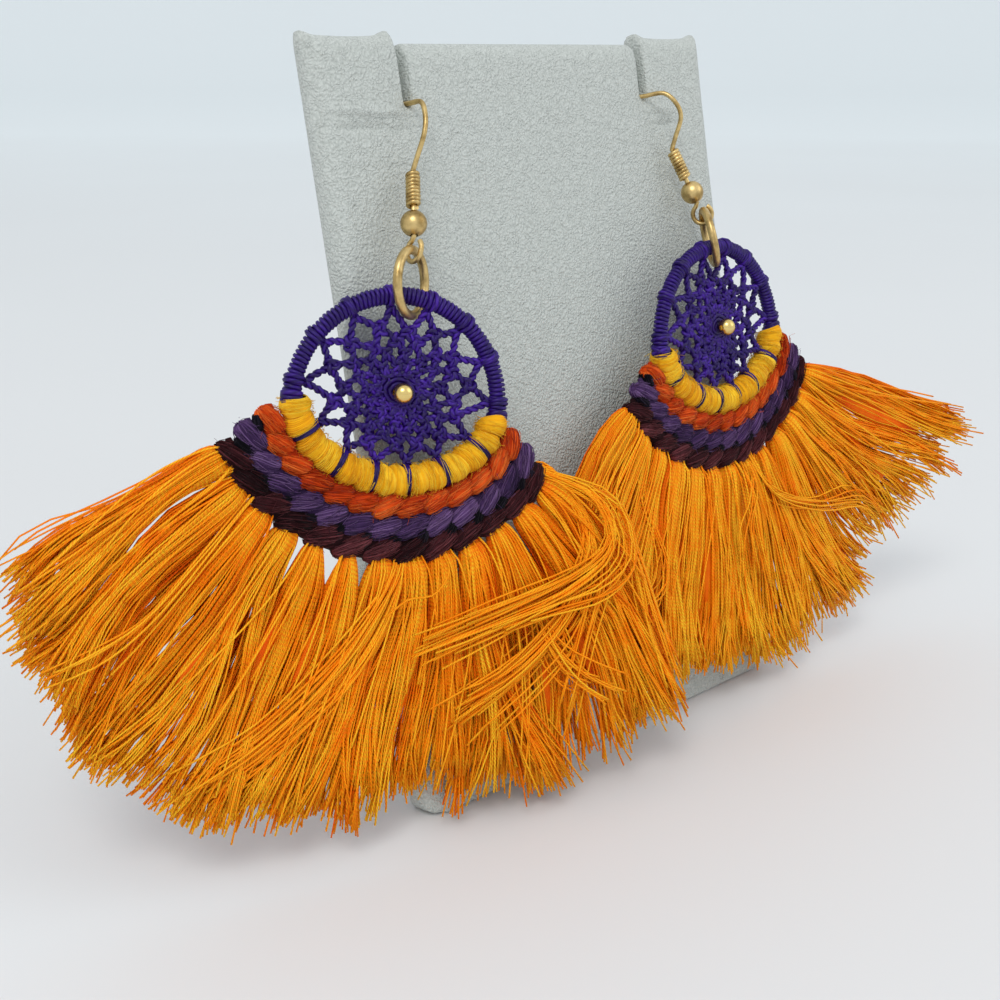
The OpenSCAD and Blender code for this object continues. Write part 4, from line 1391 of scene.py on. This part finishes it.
def make_strays(side):
    """Threads that have left their locks: crossing bundles, and single flyaways."""
    draw = np.random.default_rng(191 + (side == "right"))
    s = Strands()
    t = np.linspace(0, 1, 17)
    far = t[:, None]
    for count, *edges in BUNDLES[side]:
        lines, tones = [], []
        first, last = np.array(edges)
        for _ in range(count):
            mix = draw.random()
            knots = first * (1 - mix) + last * mix
            knots[0, 2] *= 0.35
            sunk = knots[0] * (0.91, 0.91, 0) + (0, 0.09 * NET_RISE, 0)
            line = smooth_line([sunk, *knots], 8)
            cut = t * draw.uniform(0.88, 1.0) * (len(line) - 1)
            line = np.stack([np.interp(cut, np.arange(len(line)), row) for row in line.T], 1)
            line += draw.normal(0, 0.2, 3) + draw.normal(0, 0.9, 3) * (1, 1, 0.5) * far ** 1.4
            for size, slow, fast in ((0.45, 3, 7), (0.12, 9, 18)):
                start = draw.uniform(0, 6.28, 3)
                line += size * np.sin(start + far * draw.uniform(slow, fast)) * far
            lines.append(line)
            tones.append(draw.uniform(0.55, 1.05))
        s.add(np.array(lines), THREAD_R, 4, np.array(tones))
    sheet = Sheet(side)
    n = 70
    lock = draw.integers(0, len(LOCKS[side]), (n, 1))
    along = t[None] * draw.uniform(0.6, 1.0, (n, 1)) - 0.03
    spread = draw.uniform(-1, 1, (n, 1)) * np.interp(along, HEAD_AT, HEAD_WIDE)
    p, level = sheet.point((lock + 0.5 + spread) / len(LOCKS[side]), along)
    ahead = np.maximum(along, 0)
    bend = draw.normal(0, 2.4, (n, 1)) * ahead ** 1.6
    bend += 0.8 * np.sin(draw.uniform(0, 6.28, (n, 1)) + 5 * along) * ahead
    p = p + bend[..., None] * level
    p[..., 2] += half_thickness(along) * np.interp(along, HEAD_AT, HEAD_DEEP) * 0.95
    p[..., 2] += draw.uniform(0.0, 1.3, (n, 1)) * ahead
    s.add(p, THREAD_R, 4, draw.uniform(0.5, 1.05, n))
    s.piece(f"{side}_fringe_strays", side, THREAD, "fringe_thread")


make_panel()
make_leg()
for side in ("left", "right"):
    for make in (make_hook, make_coil, make_ball, make_ring, make_bead, make_hoop, make_net,
                 make_yellow, make_sleeve_ties):
        make(side)
    for row in range(len(ROWS)):
        make_row(side, row)
    for make in (make_dark_knots, make_fringe, make_strays):
        make(side)


# Floor, backdrop, light and camera
CURVE_R = 1.6
LIGHT_AIM = (0, 0, 0.04)
CAMERA_LENS = 48.28
CAMERA_AT = (-0.1183, -0.1075, 0.0857)
CAMERA_DIP = 18.47
CAMERA_TURN = -42.18


def make_floor():
    """The pale table top, which curves up far behind into the backdrop, painted lighter towards the
    backdrop as painted light.
    """
    bpy.ops.mesh.primitive_plane_add(size=5.0, location=(0, 0, 0))
    floor = bpy.context.object
    floor.name = "floor"
    settle(floor)
    bpy.ops.object.mode_set(mode="EDIT")
    bpy.ops.mesh.select_mode(type="EDGE")
    bpy.ops.mesh.select_all(action="DESELECT")
    bpy.ops.object.mode_set(mode="OBJECT")
    for edge in floor.data.edges:
        edge.select = min(floor.data.vertices[v].co.y for v in edge.vertices) > 2.4
    bpy.ops.object.mode_set(mode="EDIT")
    for step in range(12):
        a, b = step * 7.5, (step + 1) * 7.5
        move = (0, CURVE_R * (sin(b) - sin(a)), CURVE_R * (cos(a) - cos(b)))
        bpy.ops.mesh.extrude_region_move(TRANSFORM_OT_translate={"value": move})
    bpy.ops.mesh.extrude_region_move(TRANSFORM_OT_translate={"value": (0, 0, 1.5)})
    bpy.ops.object.mode_set(mode="OBJECT")
    floor.rotation_euler = (0, 0, math.radians(-42))
    floor.location = (0, 0, -0.0002)
    settle(floor)
    bpy.ops.object.shade_smooth()
    n = Nodes("pale_floor")
    cloud = n.calc("MULTIPLY", n.noise(0.004, 2), 0.12)
    x, y, _ = n.split(n.place())
    # painted light: the colour grows lighter towards the backdrop, so the far wall reads as
    # brightly lit
    far = n.calc("MULTIPLY", n.calc("ADD", x, y), 0.33)
    stops = ((0.1, linear(222, 223, 223)), (0.7, linear(242, 248, 249)))
    n.set(Base_Color=n.ramp(n.calc("ADD", far, cloud), stops), Roughness=0.5)
    floor.data.materials.append(n.material)


def soft_light(name, place, size, watts, colour):
    """A round soft lamp that points at the middle of the earrings."""
    lamp = bpy.data.lights.new(name, "AREA")
    lamp.shape = "DISK"
    lamp.size = size
    lamp.energy = watts
    lamp.color = colour
    light = placed(name, lamp)
    light.location = place
    light.rotation_euler = (Vector(LIGHT_AIM) - Vector(place)).to_track_quat("-Z", "Y").to_euler()


def make_camera():
    camera = bpy.data.cameras.new("camera")
    camera.lens = CAMERA_LENS
    camera.sensor_width = 36
    camera.clip_start = 0.005
    camera.clip_end = 20
    holder = placed("camera", camera)
    holder.location = CAMERA_AT
    holder.rotation_euler = (math.radians(90 - CAMERA_DIP), 0, math.radians(CAMERA_TURN))
    bpy.context.scene.camera = holder


make_floor()
soft_light("soft_key", (-0.45, -0.35, 0.75), 0.4, 2.7, (1.0, 0.99, 0.97))
soft_light("soft_fill", (0.5, -0.5, 0.45), 0.6, 0.8, (0.97, 0.98, 1.0))
world = bpy.data.worlds.new("room")
world.use_nodes = True
sky = world.node_tree.nodes["Background"].inputs
sky["Color"].default_value = (0.93, 0.96, 1.0, 1)
sky["Strength"].default_value = 0.86
bpy.context.scene.world = world
bpy.context.scene.view_settings.view_transform = "Standard"
make_camera()
